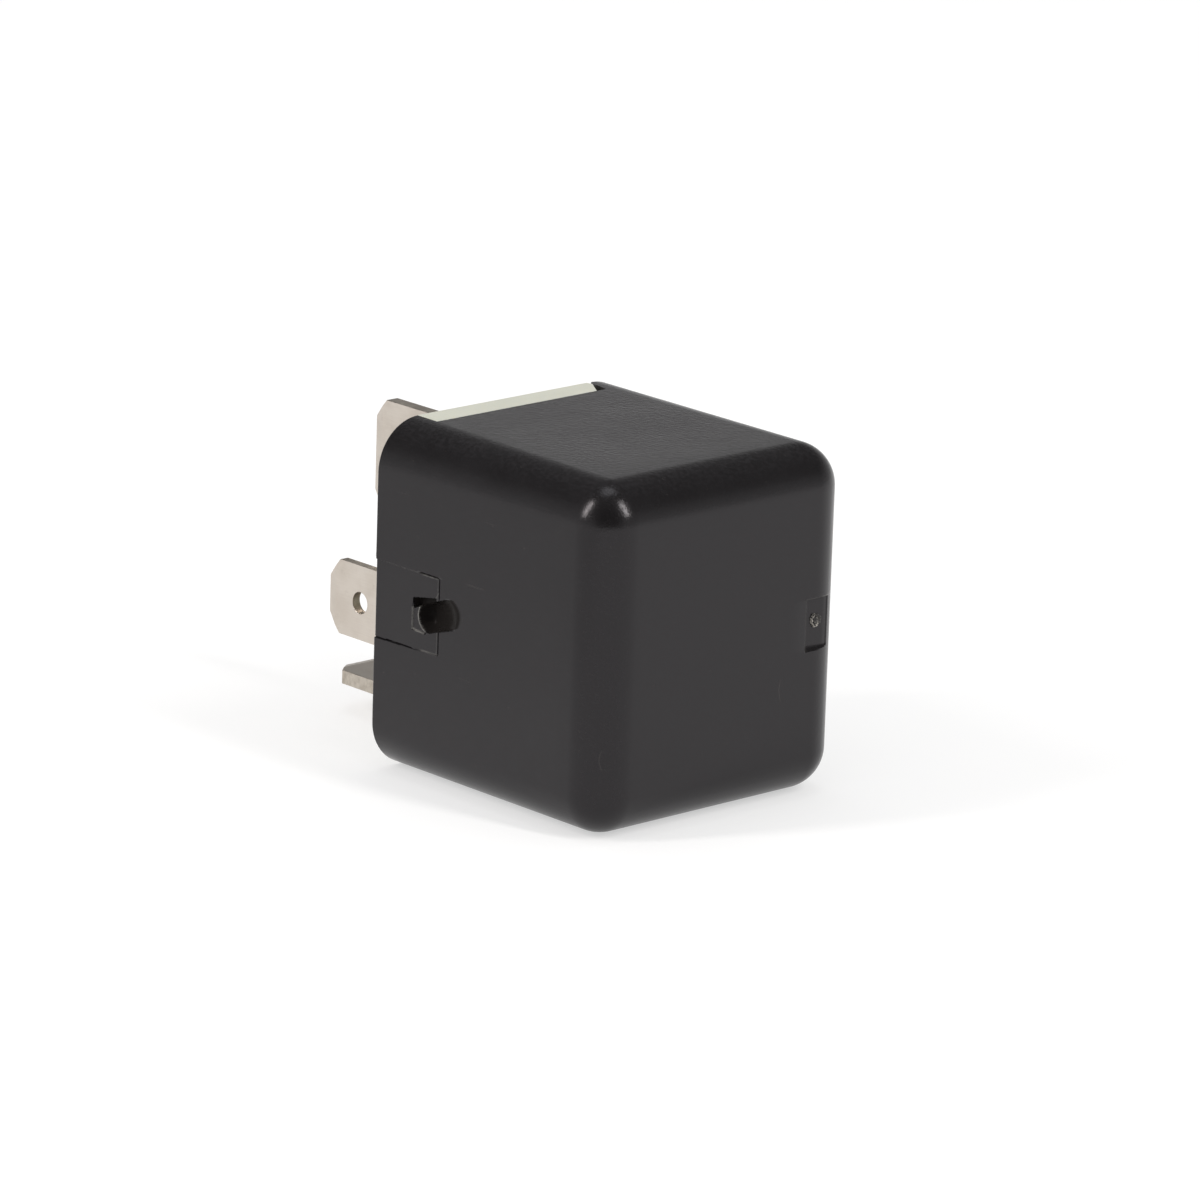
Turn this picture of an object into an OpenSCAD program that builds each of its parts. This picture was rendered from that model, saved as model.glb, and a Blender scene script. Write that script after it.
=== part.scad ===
// Heavy-duty automotive relay, four terminals, one normally open contact.
// The relay lies on its side: +X points to the closed end of the cover, -X is the way
// the terminals point, +Z is up.  The origin is the centre of the seating face, the
// plane of the cover's rim.  All sizes are in millimetres.

/* [Cover] */
// Length of the cover from its rim to its closed end
cover_length = 26.85; // [26.4:0.05:29]
// Width of the cover at its rim, along Y
cover_width = 26.95; // [26.6:0.05:29]
// Height of the cover at its rim, along Z
cover_height = 28.95; // [28.6:0.05:31]
// Wall of the cover
cover_wall = 1.2; // [1:0.05:1.3]
// Draft on each side face, in degrees
cover_draft = 0.27; // [0:0.01:0.4]
// Radius of the edges and ball corners round the closed end
closed_edge_radius = 3.55; // [3:0.05:4]
// Radius of the four long edges where they reach the rim
rim_edge_radius = 4.1; // [3.6:0.05:4.6]
// Depth of the rim notch that shows the base
notch_depth = 2.5; // [2:0.05:2.8]
// Width of the rim notch
notch_width = 18.95; // [16:0.05:19.4]

/* [Latch faces] */
// Length of the relieved latch panel, from the rim
panel_length = 7.7; // [7.2:0.05:8.4]
// Height of the latch panel
panel_height = 6.4; // [5.6:0.05:7]
// How far the latch panel lies below the side face
panel_relief = 0.1; // [0.05:0.01:0.2]
// Width and depth of the parting groove round the latch panel
panel_groove = 0.14; // [0.08:0.01:0.2]
// Distance from the rim to the square pocket
pocket_start = 4.5; // [4:0.05:5]
// Length of the square pocket
pocket_length = 2.6; // [2:0.05:3]
// Height of the square pocket
pocket_height = 1.8; // [1.4:0.05:2.2]
// Depth of the square pocket
pocket_depth = 0.25; // [0.2:0.01:0.4]
// Height of the tapered slot above the pocket, at its rim end
latch_slot_height = 0.8; // [0.6:0.05:1]
// Depth of the tapered slot
latch_slot_depth = 1; // [0.6:0.05:1.2]
// Radius of the ball-nosed scoop
scoop_radius = 1.4; // [1.3:0.05:1.6]
// Depth of the scoop at its ball end
scoop_depth = 1.35; // [1.1:0.05:1.5]
// Slope at which the scoop runs out towards the closed end, in degrees
scoop_slope = 22; // [18:1:28]
// Climb of the scoop along the side face, in degrees
scoop_climb = 18; // [12:1:24]
// Thickness of the latch boss inside the wall
boss_thickness = 0.9; // [0.7:0.05:1.1]
// Length of the latch boss beyond the latch panel
boss_overrun = 1.3; // [0.8:0.05:1.8]

/* [Gate recess] */
// Height of the gate recess at the closed end
gate_height = 4.2; // [3.6:0.05:5]
// Reach of the gate recess from the side face
gate_reach = 4.75; // [4:0.05:5.5]
// Depth of the gate recess
gate_depth = 0.35; // [0.2:0.05:0.5]
// Radius of the moulding gate's stub
gate_stub_radius = 0.6; // [0.4:0.05:0.7]

/* [Base] */
// Thickness of the base
base_thickness = 2.8; // [2.6:0.05:2.9]
// Gap between the base and the cover's wall
base_clearance = 0.1; // [0.05:0.01:0.15]
// Height of the pads that carry the yoke
pad_height = 1; // [0.8:0.05:1.1]
// Width of the latch arms
arm_width = 4; // [3:0.05:5]
// Thickness of the latch arms
arm_thickness = 0.95; // [0.8:0.05:1.1]
// Depth of the potting wells round the terminals
well_depth = 0.5; // [0.3:0.05:0.8]
// Width of the potting wells round the terminals
well_margin = 0.7; // [0.4:0.05:0.9]

/* [Terminals] */
// Length of the two coil tabs below the seating face
coil_tab_length = 11.15; // [10:0.05:12]
// Width of the coil tabs
coil_tab_width = 6.3; // [6.2:0.05:6.4]
// Thickness of the coil tabs
coil_tab_thickness = 0.8; // [0.75:0.01:0.85]
// Distance between the coil tabs, centre to centre
coil_tab_spacing = 16.8; // [16.6:0.05:17]
// Height of the coil tabs' centre line
coil_tab_z = -2.95; // [-3.2:0.05:-2.8]
// Diameter of the detent holes in the coil tabs
detent_hole = 1.8; // [1.6:0.05:2]
// Distance from the detent hole to the tip
detent_from_tip = 3.95; // [3.6:0.05:4.4]
// Length of the two power tabs below the seating face
power_tab_length = 15.3; // [14:0.05:16]
// Width of the power tabs
power_tab_width = 9.5; // [9.3:0.05:9.6]
// Thickness of the power tabs
power_tab_thickness = 1.2; // [1.1:0.01:1.25]
// Height of terminal 30's centre line
terminal_30_z = 6.75; // [6.6:0.05:6.9]
// Height of terminal 87's middle plane above the cover's lower edge
terminal_87_rise = 2.975; // [2.85:0.025:3.1]
// Length of the tabs' tip chamfers
tip_chamfer = 1.4; // [1:0.05:1.8]
// Depth of the bevel that thins each tab's tip
tip_bevel = 0.18; // [0.1:0.01:0.25]
// Length of the bevel that thins each tab's tip
tip_bevel_length = 0.9; // [0.6:0.05:1.2]

/* [Magnet] */
// Thickness of the yoke's steel
yoke_thickness = 1.6; // [1.4:0.05:1.7]
// Width of the yoke
yoke_width = 13; // [12.4:0.05:13.4]
// Inside radius of the yoke's bend
yoke_bend = 0.5; // [0.4:0.05:0.7]
// Room between the pole face and the inside of the closed end
magnet_headroom = 5.41; // [5.2:0.01:5.8]
// Distance from the yoke's leg up to the cover's upper edge
leg_headroom = 3.875; // [3.7:0.025:4.1]
// Radius of the core
core_radius = 3; // [2.8:0.05:3.2]
// Radius of the pole face
pole_radius = 4.8; // [4.4:0.05:5.2]
// Thickness of the pole face
pole_thickness = 1.2; // [1:0.05:1.3]
// Wall of the bobbin's barrel and its flanges
bobbin_wall = 1; // [0.8:0.05:1.1]
// How far the winding stays inside the edge of the bobbin's flanges
winding_inset = 0.65; // [0.6:0.05:1]
// Radius of the winding wire as drawn
wire_radius = 0.2; // [0.15:0.01:0.25]

/* [Armature] */
// Thickness of the armature
armature_thickness = 1.5; // [1.3:0.05:1.6]
// Width of the armature
armature_width = 12.4; // [11.8:0.05:12.6]
// Distance from the armature's free end to the contacts' centre
contact_overhang = 3.2; // [3.1:0.05:3.4]
// Angle that the armature swings from open to closed
open_angle = 4; // [3:0.1:4.2]
// Thickness of the contact spring
spring_thickness = 0.25; // [0.2:0.01:0.3]
// Width of the contact spring
spring_width = 8.6; // [8:0.05:9]
// Height of the contacts' centre above terminal 87's middle plane
contact_rise = 2.7; // [2.6:0.05:2.9]
// Radius of the contacts
contact_radius = 2; // [1.8:0.05:2.1]
// Thickness of the moving contact's head
moving_contact_height = 1.1; // [1:0.05:1.2]
// Thickness of the fixed contact's head
fixed_contact_height = 0.9; // [0.8:0.05:1]
// Width of the copper braid
braid_width = 3; // [2.4:0.05:3.2]
// Thickness of the copper braid
braid_thickness = 0.7; // [0.5:0.05:0.8]
// Radius of the copper braid's bend over the heel
braid_bend = 1.3; // [1.2:0.05:1.5]

/* [Rivets] */
// Radius of the shanks of the two rivets in the yoke
yoke_rivet_radius = 1; // [0.8:0.05:1.1]
// Distance from the yoke's foot to the first rivet
yoke_rivet_start = 3.6; // [3.2:0.05:4]
// Distance between the two rivets in the yoke
yoke_rivet_pitch = 4; // [3.8:0.05:4.2]
// Radius of the shanks of the two rivets in the armature
armature_rivet_radius = 0.9; // [0.7:0.05:1]
// Height of the rivets' closed heads
rivet_head = 0.5; // [0.4:0.05:0.6]

/* [Resistor] */
// Radius of the resistor's body
resistor_radius = 1.2; // [1:0.05:1.3]
// Length of the resistor's body
resistor_length = 6.8; // [6:0.05:8]
// Radius of the resistor's leads
lead_radius = 0.3; // [0.25:0.01:0.35]

/* [Hidden] */

// Clearances
fit_gap = 0.02;         // pressed and riveted pieces
slot_gap = 0.05;        // terminals in the base
swing_gap = 0.05;       // closed armature over the pole, closed contacts
leg_gap = 0.05;         // contact spring's leg over the yoke
stop_gap = 0.04;        // open armature under the backstop

// Cover
half_width = cover_width / 2;
half_height = cover_height / 2;
draft_run = tan(cover_draft);
panel_bottom = -panel_height / 2;
boss_start = base_thickness + base_clearance;
boss_end = panel_length + boss_overrun;
pocket_bottom = -1.6;
pocket_top = pocket_bottom + pocket_height;
slot_overlap = 0.1;     // the tapered slot starts this deep inside the pocket
scoop_x = 6.5;
scoop_z = -0.4;
gate_y = half_width - gate_reach;

// Base
base_draft = base_thickness * draft_run;
base_half_width = half_width - cover_wall - base_clearance - base_draft;
base_half_height = half_height - cover_wall - base_clearance - base_draft;
base_corner = rim_edge_radius - cover_wall;
lug_end = notch_width / 2 - 0.5;
lug_slant = 1.2;
arm_outer = half_width - cover_wall - boss_thickness - base_clearance - slot_gap;
arm_nose = boss_end + base_clearance;
arm_end = arm_nose + 1.3;
socket_depth = 0.5;     // pads and arms start this deep inside the base

// Magnet, stacked from the base towards the closed end
foot_bottom = base_thickness + pad_height;
pad_start = 2.2;
foot_top = foot_bottom + yoke_thickness;
flange_low = foot_top + fit_gap;
winding_low = flange_low + bobbin_wall;
pole_face = cover_length - cover_wall - magnet_headroom;
pole_low = pole_face - pole_thickness;
flange_high = pole_low - fit_gap;
winding_high = flange_high - bobbin_wall;
winding_length = winding_high - winding_low;
leg_outer = half_height - leg_headroom;
leg_inner = leg_outer - yoke_thickness;
terminal_87_z = terminal_87_rise - half_height;
contact_z = terminal_87_z + contact_rise;
shelf_end = contact_z + 2.1;
flange_top = leg_inner - 0.2;
flange_height = flange_top - shelf_end - 0.3;
flange_width = coil_tab_spacing - coil_tab_thickness - 0.8;
flange_bottom = flange_top - flange_height;
coil_z = flange_top - flange_height / 2;
winding_radius = min(flange_width, flange_height) / 2 - winding_inset;
foot_end = flange_bottom + 0.4;
tenon_low = coil_z + core_radius + 1.3;
tenon_high = flange_top - 0.6;
ear_width = 1.1;
barrel_radius = core_radius + fit_gap + bobbin_wall * 0.75;

// Armature, given in its closed place and then swung open about the yoke's edge
pivot = [pole_face + fit_gap, 0, leg_outer];
armature_low = pole_face + swing_gap;
armature_high = armature_low + armature_thickness;
heel_radius = armature_thickness - 0.3;
armature_length = leg_outer - contact_z - contact_overhang;
spring_low = armature_high + fit_gap;
spring_high = spring_low + spring_thickness;
contact_face = spring_low - moving_contact_height;
fixed_face = contact_face - swing_gap;
shelf_top = fixed_face - fixed_contact_height;
rivet_x = [foot_top + yoke_rivet_start, foot_top + yoke_rivet_start + yoke_rivet_pitch];
rivet_y = armature_width / 4 + 0.1;
rivet_drop = armature_length / 2 - 0.5;
rivet_z = leg_outer - rivet_drop;
contact_shank = contact_radius / 2;

// Terminals and leads
lug_top = foot_top + 0.8;
pin_top = winding_low + 1.6;
pin_z = coil_z - winding_radius - wire_radius - 0.05;
pin_half = coil_tab_thickness * 0.625;
chamfer_ratio = 1.15;   // width of a tab's tip chamfer over its length
resistor_x = base_thickness + resistor_radius + 0.6;
resistor_z = foot_end - resistor_radius - 1.3;
tab_y = coil_tab_spacing / 2;

// ---------------------------------------------------------------- shared shapes

// A box given by its low and high values on each axis
module block(x, y, z) {
    translate([x[0], y[0], z[0]])
        cube([x[1] - x[0], y[1] - y[0], z[1] - z[0]]);
}

// Cylinders along each axis, from one end to the other
module rod_x(r, x0, x1, y = 0, z = 0) {
    translate([x0, y, z])
        rotate([0, 90, 0])
            cylinder(r = r, h = x1 - x0, $fn = 48);
}

module rod_y(r, y0, y1, x = 0, z = 0) {
    translate([x, y0, z])
        rotate([-90, 0, 0])
            cylinder(r = r, h = y1 - y0, $fn = 48);
}

module rod_z(r, z0, z1, x = 0, y = 0) {
    translate([x, y, z0])
        cylinder(r = r, h = z1 - z0, $fn = 48);
}

// Extrudes an outline drawn in (x, z) along Y, about the middle plane
module across(width) {
    rotate([90, 0, 0])
        linear_extrude(height = width, center = true)
            children();
}

// Extrudes an outline drawn in (y, z) along X
module along(x0, x1) {
    translate([x0, 0, 0])
        rotate([90, 0, 90])
            linear_extrude(height = x1 - x0)
                children();
}

// Rectangle with round corners, about its middle
module rounded_rectangle(width, height, radius) {
    square([width - 2 * radius, height], center = true);
    square([width, height - 2 * radius], center = true);
    for (sy = [-1, 1], sz = [-1, 1])
        translate([sy * (width / 2 - radius), sz * (height / 2 - radius)])
            circle(r = radius, $fn = 48);
}

// Ball with vertices at its poles, so that a hull reaches its full radius
module ball(radius, steps) {
    rotate_extrude($fn = steps)
        intersection() {
            circle(r = radius, $fn = steps);
            translate([0, -radius])
                square([radius, 2 * radius]);
        }
}

// Body with drafted sides, round long edges and ball corners at its closed end
module drafted_body(length, width, height, end_radius, edge_radius, steps) {
    end_x = length - end_radius;
    end_y = width / 2 - end_x * draft_run - end_radius / cos(cover_draft);
    end_z = height / 2 - end_x * draft_run - end_radius / cos(cover_draft);
    hull() {
        for (sy = [-1, 1], sz = [-1, 1]) {
            translate([end_x, sy * end_y, sz * end_z])
                ball(end_radius, steps);
            translate([0, sy * (width / 2 - edge_radius), sz * (height / 2 - edge_radius)])
                rotate([0, 90, 0])
                    cylinder(r = edge_radius, h = 0.01, $fn = steps);
        }
    }
}

// Swings a piece of the armature from its closed place to its open one
module swung_open() {
    translate(pivot)
        rotate([0, -open_angle, 0])
            translate(-pivot)
                children();
}

// Both hands of a piece drawn on the +Y side
module both_sides() {
    children();
    mirror([0, 1, 0])
        children();
}

// ---------------------------------------------------------------- cover

// Relieved panel with its parting groove, pocket, tapered slot and scoop, on the -Y face
module latch_face_cut() {
    side = -half_width;
    floor_y = side + panel_relief;
    block([-1, panel_length], [side - 1, floor_y], [panel_bottom, -panel_bottom]);
    block([panel_length, panel_length + panel_groove], [side - 1, floor_y + panel_groove],
        [panel_bottom - panel_groove, -panel_bottom]);
    block([-1, panel_length], [side - 1, floor_y + panel_groove],
        [panel_bottom - panel_groove, panel_bottom]);
    block([pocket_start, pocket_start + pocket_length], [side - 1, side + pocket_depth],
        [pocket_bottom, pocket_top]);
    translate([pocket_start + slot_overlap, side + latch_slot_depth, pocket_top])
        rotate([90, 0, 0])
            linear_extrude(height = latch_slot_depth + 1)
                polygon([
                    [0, -slot_overlap],
                    [pocket_length - 0.5, latch_slot_height * 0.9],
                    [pocket_length + 0.1, latch_slot_height * 1.55],
                    [0, latch_slot_height]
                ]);
    translate([scoop_x, side + scoop_depth - scoop_radius, scoop_z]) {
        sphere(r = scoop_radius, $fn = 48);
        rotate([0, 90 - scoop_climb, -scoop_slope])
            cylinder(r = scoop_radius, h = 8, $fn = 48);
    }
}

// Thick boss behind the latch face, with a lead-in at the rim end
module latch_boss() {
    inner = half_width - cover_wall - boss_thickness;
    along(boss_start, boss_end)
        polygon([
            [-half_width + cover_wall / 2, panel_bottom - boss_thickness],
            [-half_width + cover_wall / 2, -panel_bottom + boss_thickness],
            [-inner, -panel_bottom],
            [-inner, panel_bottom]
        ]);
}

module gate_recess_cut() {
    floor_x = cover_length - gate_depth;
    block([floor_x, cover_length + 1], [gate_y, half_width + 1],
        [-gate_height / 2, gate_height / 2]);
}

module cover() {
    inside = 2 * cover_wall;
    color("#2b2b2d")
        difference() {
            union() {
                difference() {
                    drafted_body(cover_length, cover_width, cover_height,
                        closed_edge_radius, rim_edge_radius, 48);
                    translate([-0.01, 0, 0])
                        drafted_body(cover_length - cover_wall + 0.01,
                            cover_width - inside, cover_height - inside,
                            closed_edge_radius - cover_wall,
                            rim_edge_radius - cover_wall, 32);
                }
                latch_boss();
                mirror([0, 1, 0])
                    latch_boss();
            }
            block([-1, notch_depth], [-notch_width / 2, notch_width / 2],
                [half_height - 2 * cover_wall, half_height + 1]);
            latch_face_cut();
            mirror([0, 1, 0])
                latch_face_cut();
            gate_recess_cut();
        }
    color("#2b2b2d")
        rod_x(gate_stub_radius, cover_length - gate_depth, cover_length - 0.1,
            gate_y + 1.2, 0.3);
}

// ---------------------------------------------------------------- base

// Plan of one blade where it passes the base, grown by a margin
module blade_slot(y, z, width_y, height_z, margin, x0, x1) {
    block([x0, x1], [y - width_y / 2 - margin, y + width_y / 2 + margin],
        [z - height_z / 2 - margin, z + height_z / 2 + margin]);
}

// Slot or potting well for each of the four terminals
module terminal_slots(margin, x0, x1) {
    for (side = [-1, 1])
        blade_slot(side * tab_y, coil_tab_z, coil_tab_thickness, coil_tab_width,
            margin, x0, x1);
    blade_slot(0, terminal_30_z, power_tab_thickness, power_tab_width, margin, x0, x1);
    blade_slot(0, terminal_87_z, power_tab_width, power_tab_thickness, margin, x0, x1);
}

// Lug that fills the rim notch, with one square and one slanted end
module notch_lug() {
    top = half_height - fit_gap;
    root = base_half_height - socket_depth;
    inner_x = notch_depth - slot_gap;
    translate([0, 0, root])
        linear_extrude(height = top - root)
            polygon([
                [0, -notch_width / 2 + slot_gap],
                [inner_x, -notch_width / 2 + slot_gap],
                [inner_x, lug_end - lug_slant],
                [0.6, lug_end],
                [0, lug_end - 0.1]
            ]);
}

// Arm that springs behind the cover's latch boss
module latch_arm() {
    nose = arm_outer + boss_thickness * 0.7;
    root = base_thickness - socket_depth;
    linear_extrude(height = arm_width, center = true)
        polygon([
            [root, arm_outer - arm_thickness - 0.4],
            [root, arm_outer],
            [arm_nose, arm_outer],
            [arm_nose, nose],
            [arm_nose + 0.3, nose],
            [arm_end, arm_outer - 0.2],
            [arm_end, arm_outer - arm_thickness],
            [base_thickness + 0.8, arm_outer - arm_thickness]
        ]);
}

module base() {
    color("#d6d8ca")
        difference() {
            union() {
                along(0, base_thickness)
                    rounded_rectangle(2 * base_half_width, 2 * base_half_height,
                        base_corner);
                notch_lug();
                both_sides()
                    latch_arm();
                both_sides()
                    block([base_thickness - socket_depth, foot_bottom],
                        [pad_start, yoke_width / 2], [foot_end, leg_outer]);
            }
            terminal_slots(slot_gap, -1, foot_bottom + 1);
            terminal_slots(well_margin, -1, well_depth);
        }
}

// ---------------------------------------------------------------- terminals

// Flat tab lying in the XZ plane, tip at -length, with chamfered corners
module tab_outline(length, width, root) {
    side = width / 2;
    nose = side - tip_chamfer * chamfer_ratio;
    polygon([
        [root, -side],
        [root, side],
        [-length + tip_chamfer, side],
        [-length, nose],
        [-length, -nose],
        [-length + tip_chamfer, -side]
    ]);
}

// Wedges that thin a tab's tip on both faces
module tip_bevels(length, width, thickness) {
    for (side = [-1, 1])
        scale([1, side, 1])
            translate([-length, thickness / 2, 0])
                linear_extrude(height = width + 2, center = true)
                    polygon([
                        [-1, -tip_bevel],
                        [0, -tip_bevel],
                        [tip_bevel_length, 0],
                        [tip_bevel_length, 1],
                        [-1, 1]
                    ]);
}

module coil_terminal(side) {
    root = base_thickness;
    lug_low = resistor_z - 1;
    lug_high = coil_tab_z + 0.2;
    color("#d2c8bb")
        translate([0, side * tab_y, 0])
            difference() {
                union() {
                    translate([0, 0, coil_tab_z])
                        across(coil_tab_thickness)
                            tab_outline(coil_tab_length, coil_tab_width, root);
                    across(coil_tab_thickness)
                        polygon([
                            [root - 0.3, coil_tab_z - coil_tab_width / 2],
                            [root + slot_gap, coil_tab_z - coil_tab_width / 2],
                            [root + 0.4, lug_low],
                            [lug_top - 0.5, lug_low],
                            [lug_top, lug_low + 0.5],
                            [lug_top, pin_z - pin_half],
                            [pin_top, pin_z - pin_half],
                            [pin_top, pin_z + pin_half],
                            [lug_top, pin_z + pin_half],
                            [lug_top, lug_high - 0.5],
                            [lug_top - 0.5, lug_high],
                            [root - 0.3, lug_high]
                        ]);
                }
                translate([0, 0, coil_tab_z])
                    tip_bevels(coil_tab_length, coil_tab_width, coil_tab_thickness);
                rod_y(detent_hole / 2, -2, 2, -coil_tab_length + detent_from_tip, coil_tab_z);
                rod_y(lead_radius + fit_gap, -2, 2, resistor_x, resistor_z);
            }
}

module terminal_85() {
    coil_terminal(-1);
}

module terminal_86() {
    coil_terminal(1);
}

module terminal_30() {
    color("#d2c8bb")
        difference() {
            union() {
                translate([0, 0, terminal_30_z])
                    across(power_tab_thickness)
                        tab_outline(power_tab_length, power_tab_width,
                            foot_bottom - fit_gap);
                block([foot_bottom - 0.1, foot_top - fit_gap],
                    [-power_tab_thickness / 2, power_tab_thickness / 2],
                    [tenon_low, tenon_high]);
            }
            translate([0, 0, terminal_30_z])
                tip_bevels(power_tab_length, power_tab_width, power_tab_thickness);
        }
}

// Blade, riser and contact shelf bent from one strip
module terminal_87() {
    low = terminal_87_z - power_tab_thickness / 2;
    high = terminal_87_z + power_tab_thickness / 2;
    bend = 0.5;
    outer = bend + power_tab_thickness;
    riser_width = 2 * contact_radius + 3;
    color("#d2c8bb")
        difference() {
            union() {
                translate([0, 0, terminal_87_z])
                    rotate([90, 0, 0])
                        across(power_tab_thickness)
                            tab_outline(power_tab_length, power_tab_width,
                                base_thickness + 0.6);
                across(riser_width)
                    difference() {
                        union() {
                            translate([base_thickness, low])
                                square([shelf_top - outer - base_thickness,
                                    power_tab_thickness]);
                            translate([shelf_top - outer, low + outer])
                                intersection() {
                                    circle(r = outer, $fn = 48);
                                    translate([0, -outer])
                                        square(outer);
                                }
                            translate([shelf_top - power_tab_thickness, low + outer])
                                square([power_tab_thickness, shelf_end - low - outer]);
                        }
                        translate([shelf_top - outer, low + outer])
                            circle(r = bend, $fn = 48);
                    }
            }
            translate([0, 0, terminal_87_z])
                rotate([90, 0, 0])
                    tip_bevels(power_tab_length, power_tab_width, power_tab_thickness);
            rod_x(contact_shank + fit_gap, shelf_top - 3, shelf_top + 1, 0, contact_z);
        }
}

// ---------------------------------------------------------------- magnet

// Side view of the yoke: foot, round bend and leg
module yoke_profile() {
    outer = yoke_bend + yoke_thickness;
    translate([foot_bottom, foot_end])
        square([yoke_thickness, leg_outer - outer - foot_end]);
    translate([foot_bottom + outer, leg_inner])
        square([pole_face - foot_bottom - outer, yoke_thickness]);
    translate([foot_bottom + outer, leg_outer - outer])
        difference() {
            intersection() {
                circle(r = outer, $fn = 48);
                translate([-outer, 0])
                    square(outer);
            }
            circle(r = yoke_bend, $fn = 48);
        }
}

module yoke() {
    tenon_half = power_tab_thickness / 2 + fit_gap;
    color("#b9bbb8")
        difference() {
            union() {
                across(yoke_width)
                    yoke_profile();
                both_sides()
                    block([pole_face - 0.5, armature_high],
                        [yoke_width / 2 - ear_width, yoke_width / 2],
                        [leg_inner, leg_outer]);
            }
            rod_x(core_radius + fit_gap, foot_bottom - 1, foot_top + 1, 0, coil_z);
            block([foot_bottom - 1, foot_top + 1], [-tenon_half, tenon_half],
                [tenon_low - fit_gap, tenon_high + fit_gap]);
            for (x = rivet_x)
                rod_z(yoke_rivet_radius + fit_gap, leg_inner - 1, leg_outer + 1, x);
        }
}

module core() {
    color("#c3c4c1")
        translate([foot_bottom, 0, coil_z])
            rotate([0, 90, 0])
                rotate_extrude($fn = 48)
                    polygon([
                        [0, 0],
                        [core_radius - 0.2, 0],
                        [core_radius, 0.2],
                        [core_radius, pole_low - foot_bottom],
                        [pole_radius, pole_low - foot_bottom],
                        [pole_radius, pole_face - foot_bottom - 0.2],
                        [pole_radius - 0.2, pole_face - foot_bottom],
                        [0, pole_face - foot_bottom]
                    ]);
}

module bobbin_flange(x0) {
    along(x0, x0 + bobbin_wall)
        translate([0, coil_z])
            rounded_rectangle(flange_width, flange_height, 1.2);
}

// Two posts and a bar that stop the open armature
module backstop() {
    post_y = armature_width / 2 + 0.2;
    bar_low = pivot[0] + (spring_high - pivot[0]) * cos(open_angle)
        + (armature_length - 0.4) * sin(open_angle) + stop_gap;
    bar_high = bar_low + 1.1;
    bar_z = flange_bottom + 1;
    bar_width = 1.6;
    both_sides()
        block([flange_high - bobbin_wall / 2, bar_high],
            [post_y, flange_width / 2], [bar_z, bar_z + bar_width]);
    across(flange_width - 1)
        translate([bar_low, bar_z])
            square([bar_high - bar_low, bar_width]);
}

module bobbin() {
    color("#e6e2d6")
        difference() {
            union() {
                rod_x(barrel_radius, flange_low, flange_high, 0, coil_z);
                bobbin_flange(flange_low);
                bobbin_flange(winding_high);
                backstop();
            }
            rod_x(core_radius + fit_gap, flange_low - 1, flange_high + 1, 0, coil_z);
            block([flange_low - 1, foot_top + yoke_bend + slot_gap],
                [-flange_width, flange_width], [leg_inner - yoke_bend - slot_gap, leg_inner]);
        }
}

module coil_winding() {
    span = winding_length - 2 * fit_gap;
    turns = floor(span / (2 * wire_radius));
    pitch = span / turns;
    inner = barrel_radius + fit_gap;
    crown = winding_radius - wire_radius;
    color("#b4632d")
        translate([winding_low + fit_gap, 0, coil_z])
            rotate([0, 90, 0])
                rotate_extrude($fn = 48)
                    union() {
                        translate([inner, 0])
                            square([crown - inner, span]);
                        for (i = [0 : turns - 1])
                            translate([crown, (i + 0.5) * pitch])
                                circle(r = pitch / 2, $fn = 8);
                    }
}

// Wire ends that leave the winding and wrap round the terminals' pins
module coil_leads() {
    wire = wire_radius * 0.75;
    wrap_radius = norm([coil_tab_thickness / 2, pin_half]) + fit_gap + wire;
    wrap_pitch = 2 * wire + fit_gap;
    wrap_x = winding_low + 0.5;
    start_y = wire_radius;
    color("#b4632d")
        both_sides() {
            rod_y(wire * 0.9, start_y, tab_y - wrap_radius, wrap_x, pin_z);
            for (i = [0 : 3])
                translate([wrap_x + i * wrap_pitch, tab_y, pin_z])
                    rotate([0, 90, 0])
                        rotate_extrude($fn = 24)
                            translate([wrap_radius, 0])
                                circle(r = wire, $fn = 8);
        }
}

// ---------------------------------------------------------------- armature

module armature() {
    ear_gap = 0.15;
    heel_half = yoke_width / 2 - ear_width - ear_gap;
    shoulder = leg_inner - 0.35;
    free_end = leg_outer - armature_length;
    half = armature_width / 2;
    color("#b9bbb8")
        swung_open()
            difference() {
                intersection() {
                    along(armature_low, armature_high)
                        polygon([
                            [-heel_half, leg_outer],
                            [-heel_half, shoulder],
                            [-half, shoulder],
                            [-half, free_end + 4],
                            [-half + 1.4, free_end],
                            [half - 1.4, free_end],
                            [half, free_end + 4],
                            [half, shoulder],
                            [heel_half, shoulder],
                            [heel_half, leg_outer]
                        ]);
                    across(armature_width + 2)
                        union() {
                            translate([armature_low, free_end])
                                square([armature_thickness,
                                    armature_length - heel_radius]);
                            translate([armature_low, free_end])
                                square([armature_thickness - heel_radius,
                                    armature_length]);
                            translate([armature_high - heel_radius,
                                leg_outer - heel_radius])
                                circle(r = heel_radius, $fn = 48);
                        }
                }
                for (side = [-1, 1])
                    rod_x(armature_rivet_radius + fit_gap, armature_low - 1,
                        armature_high + 1, side * rivet_y, rivet_z);
            }
}

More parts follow.
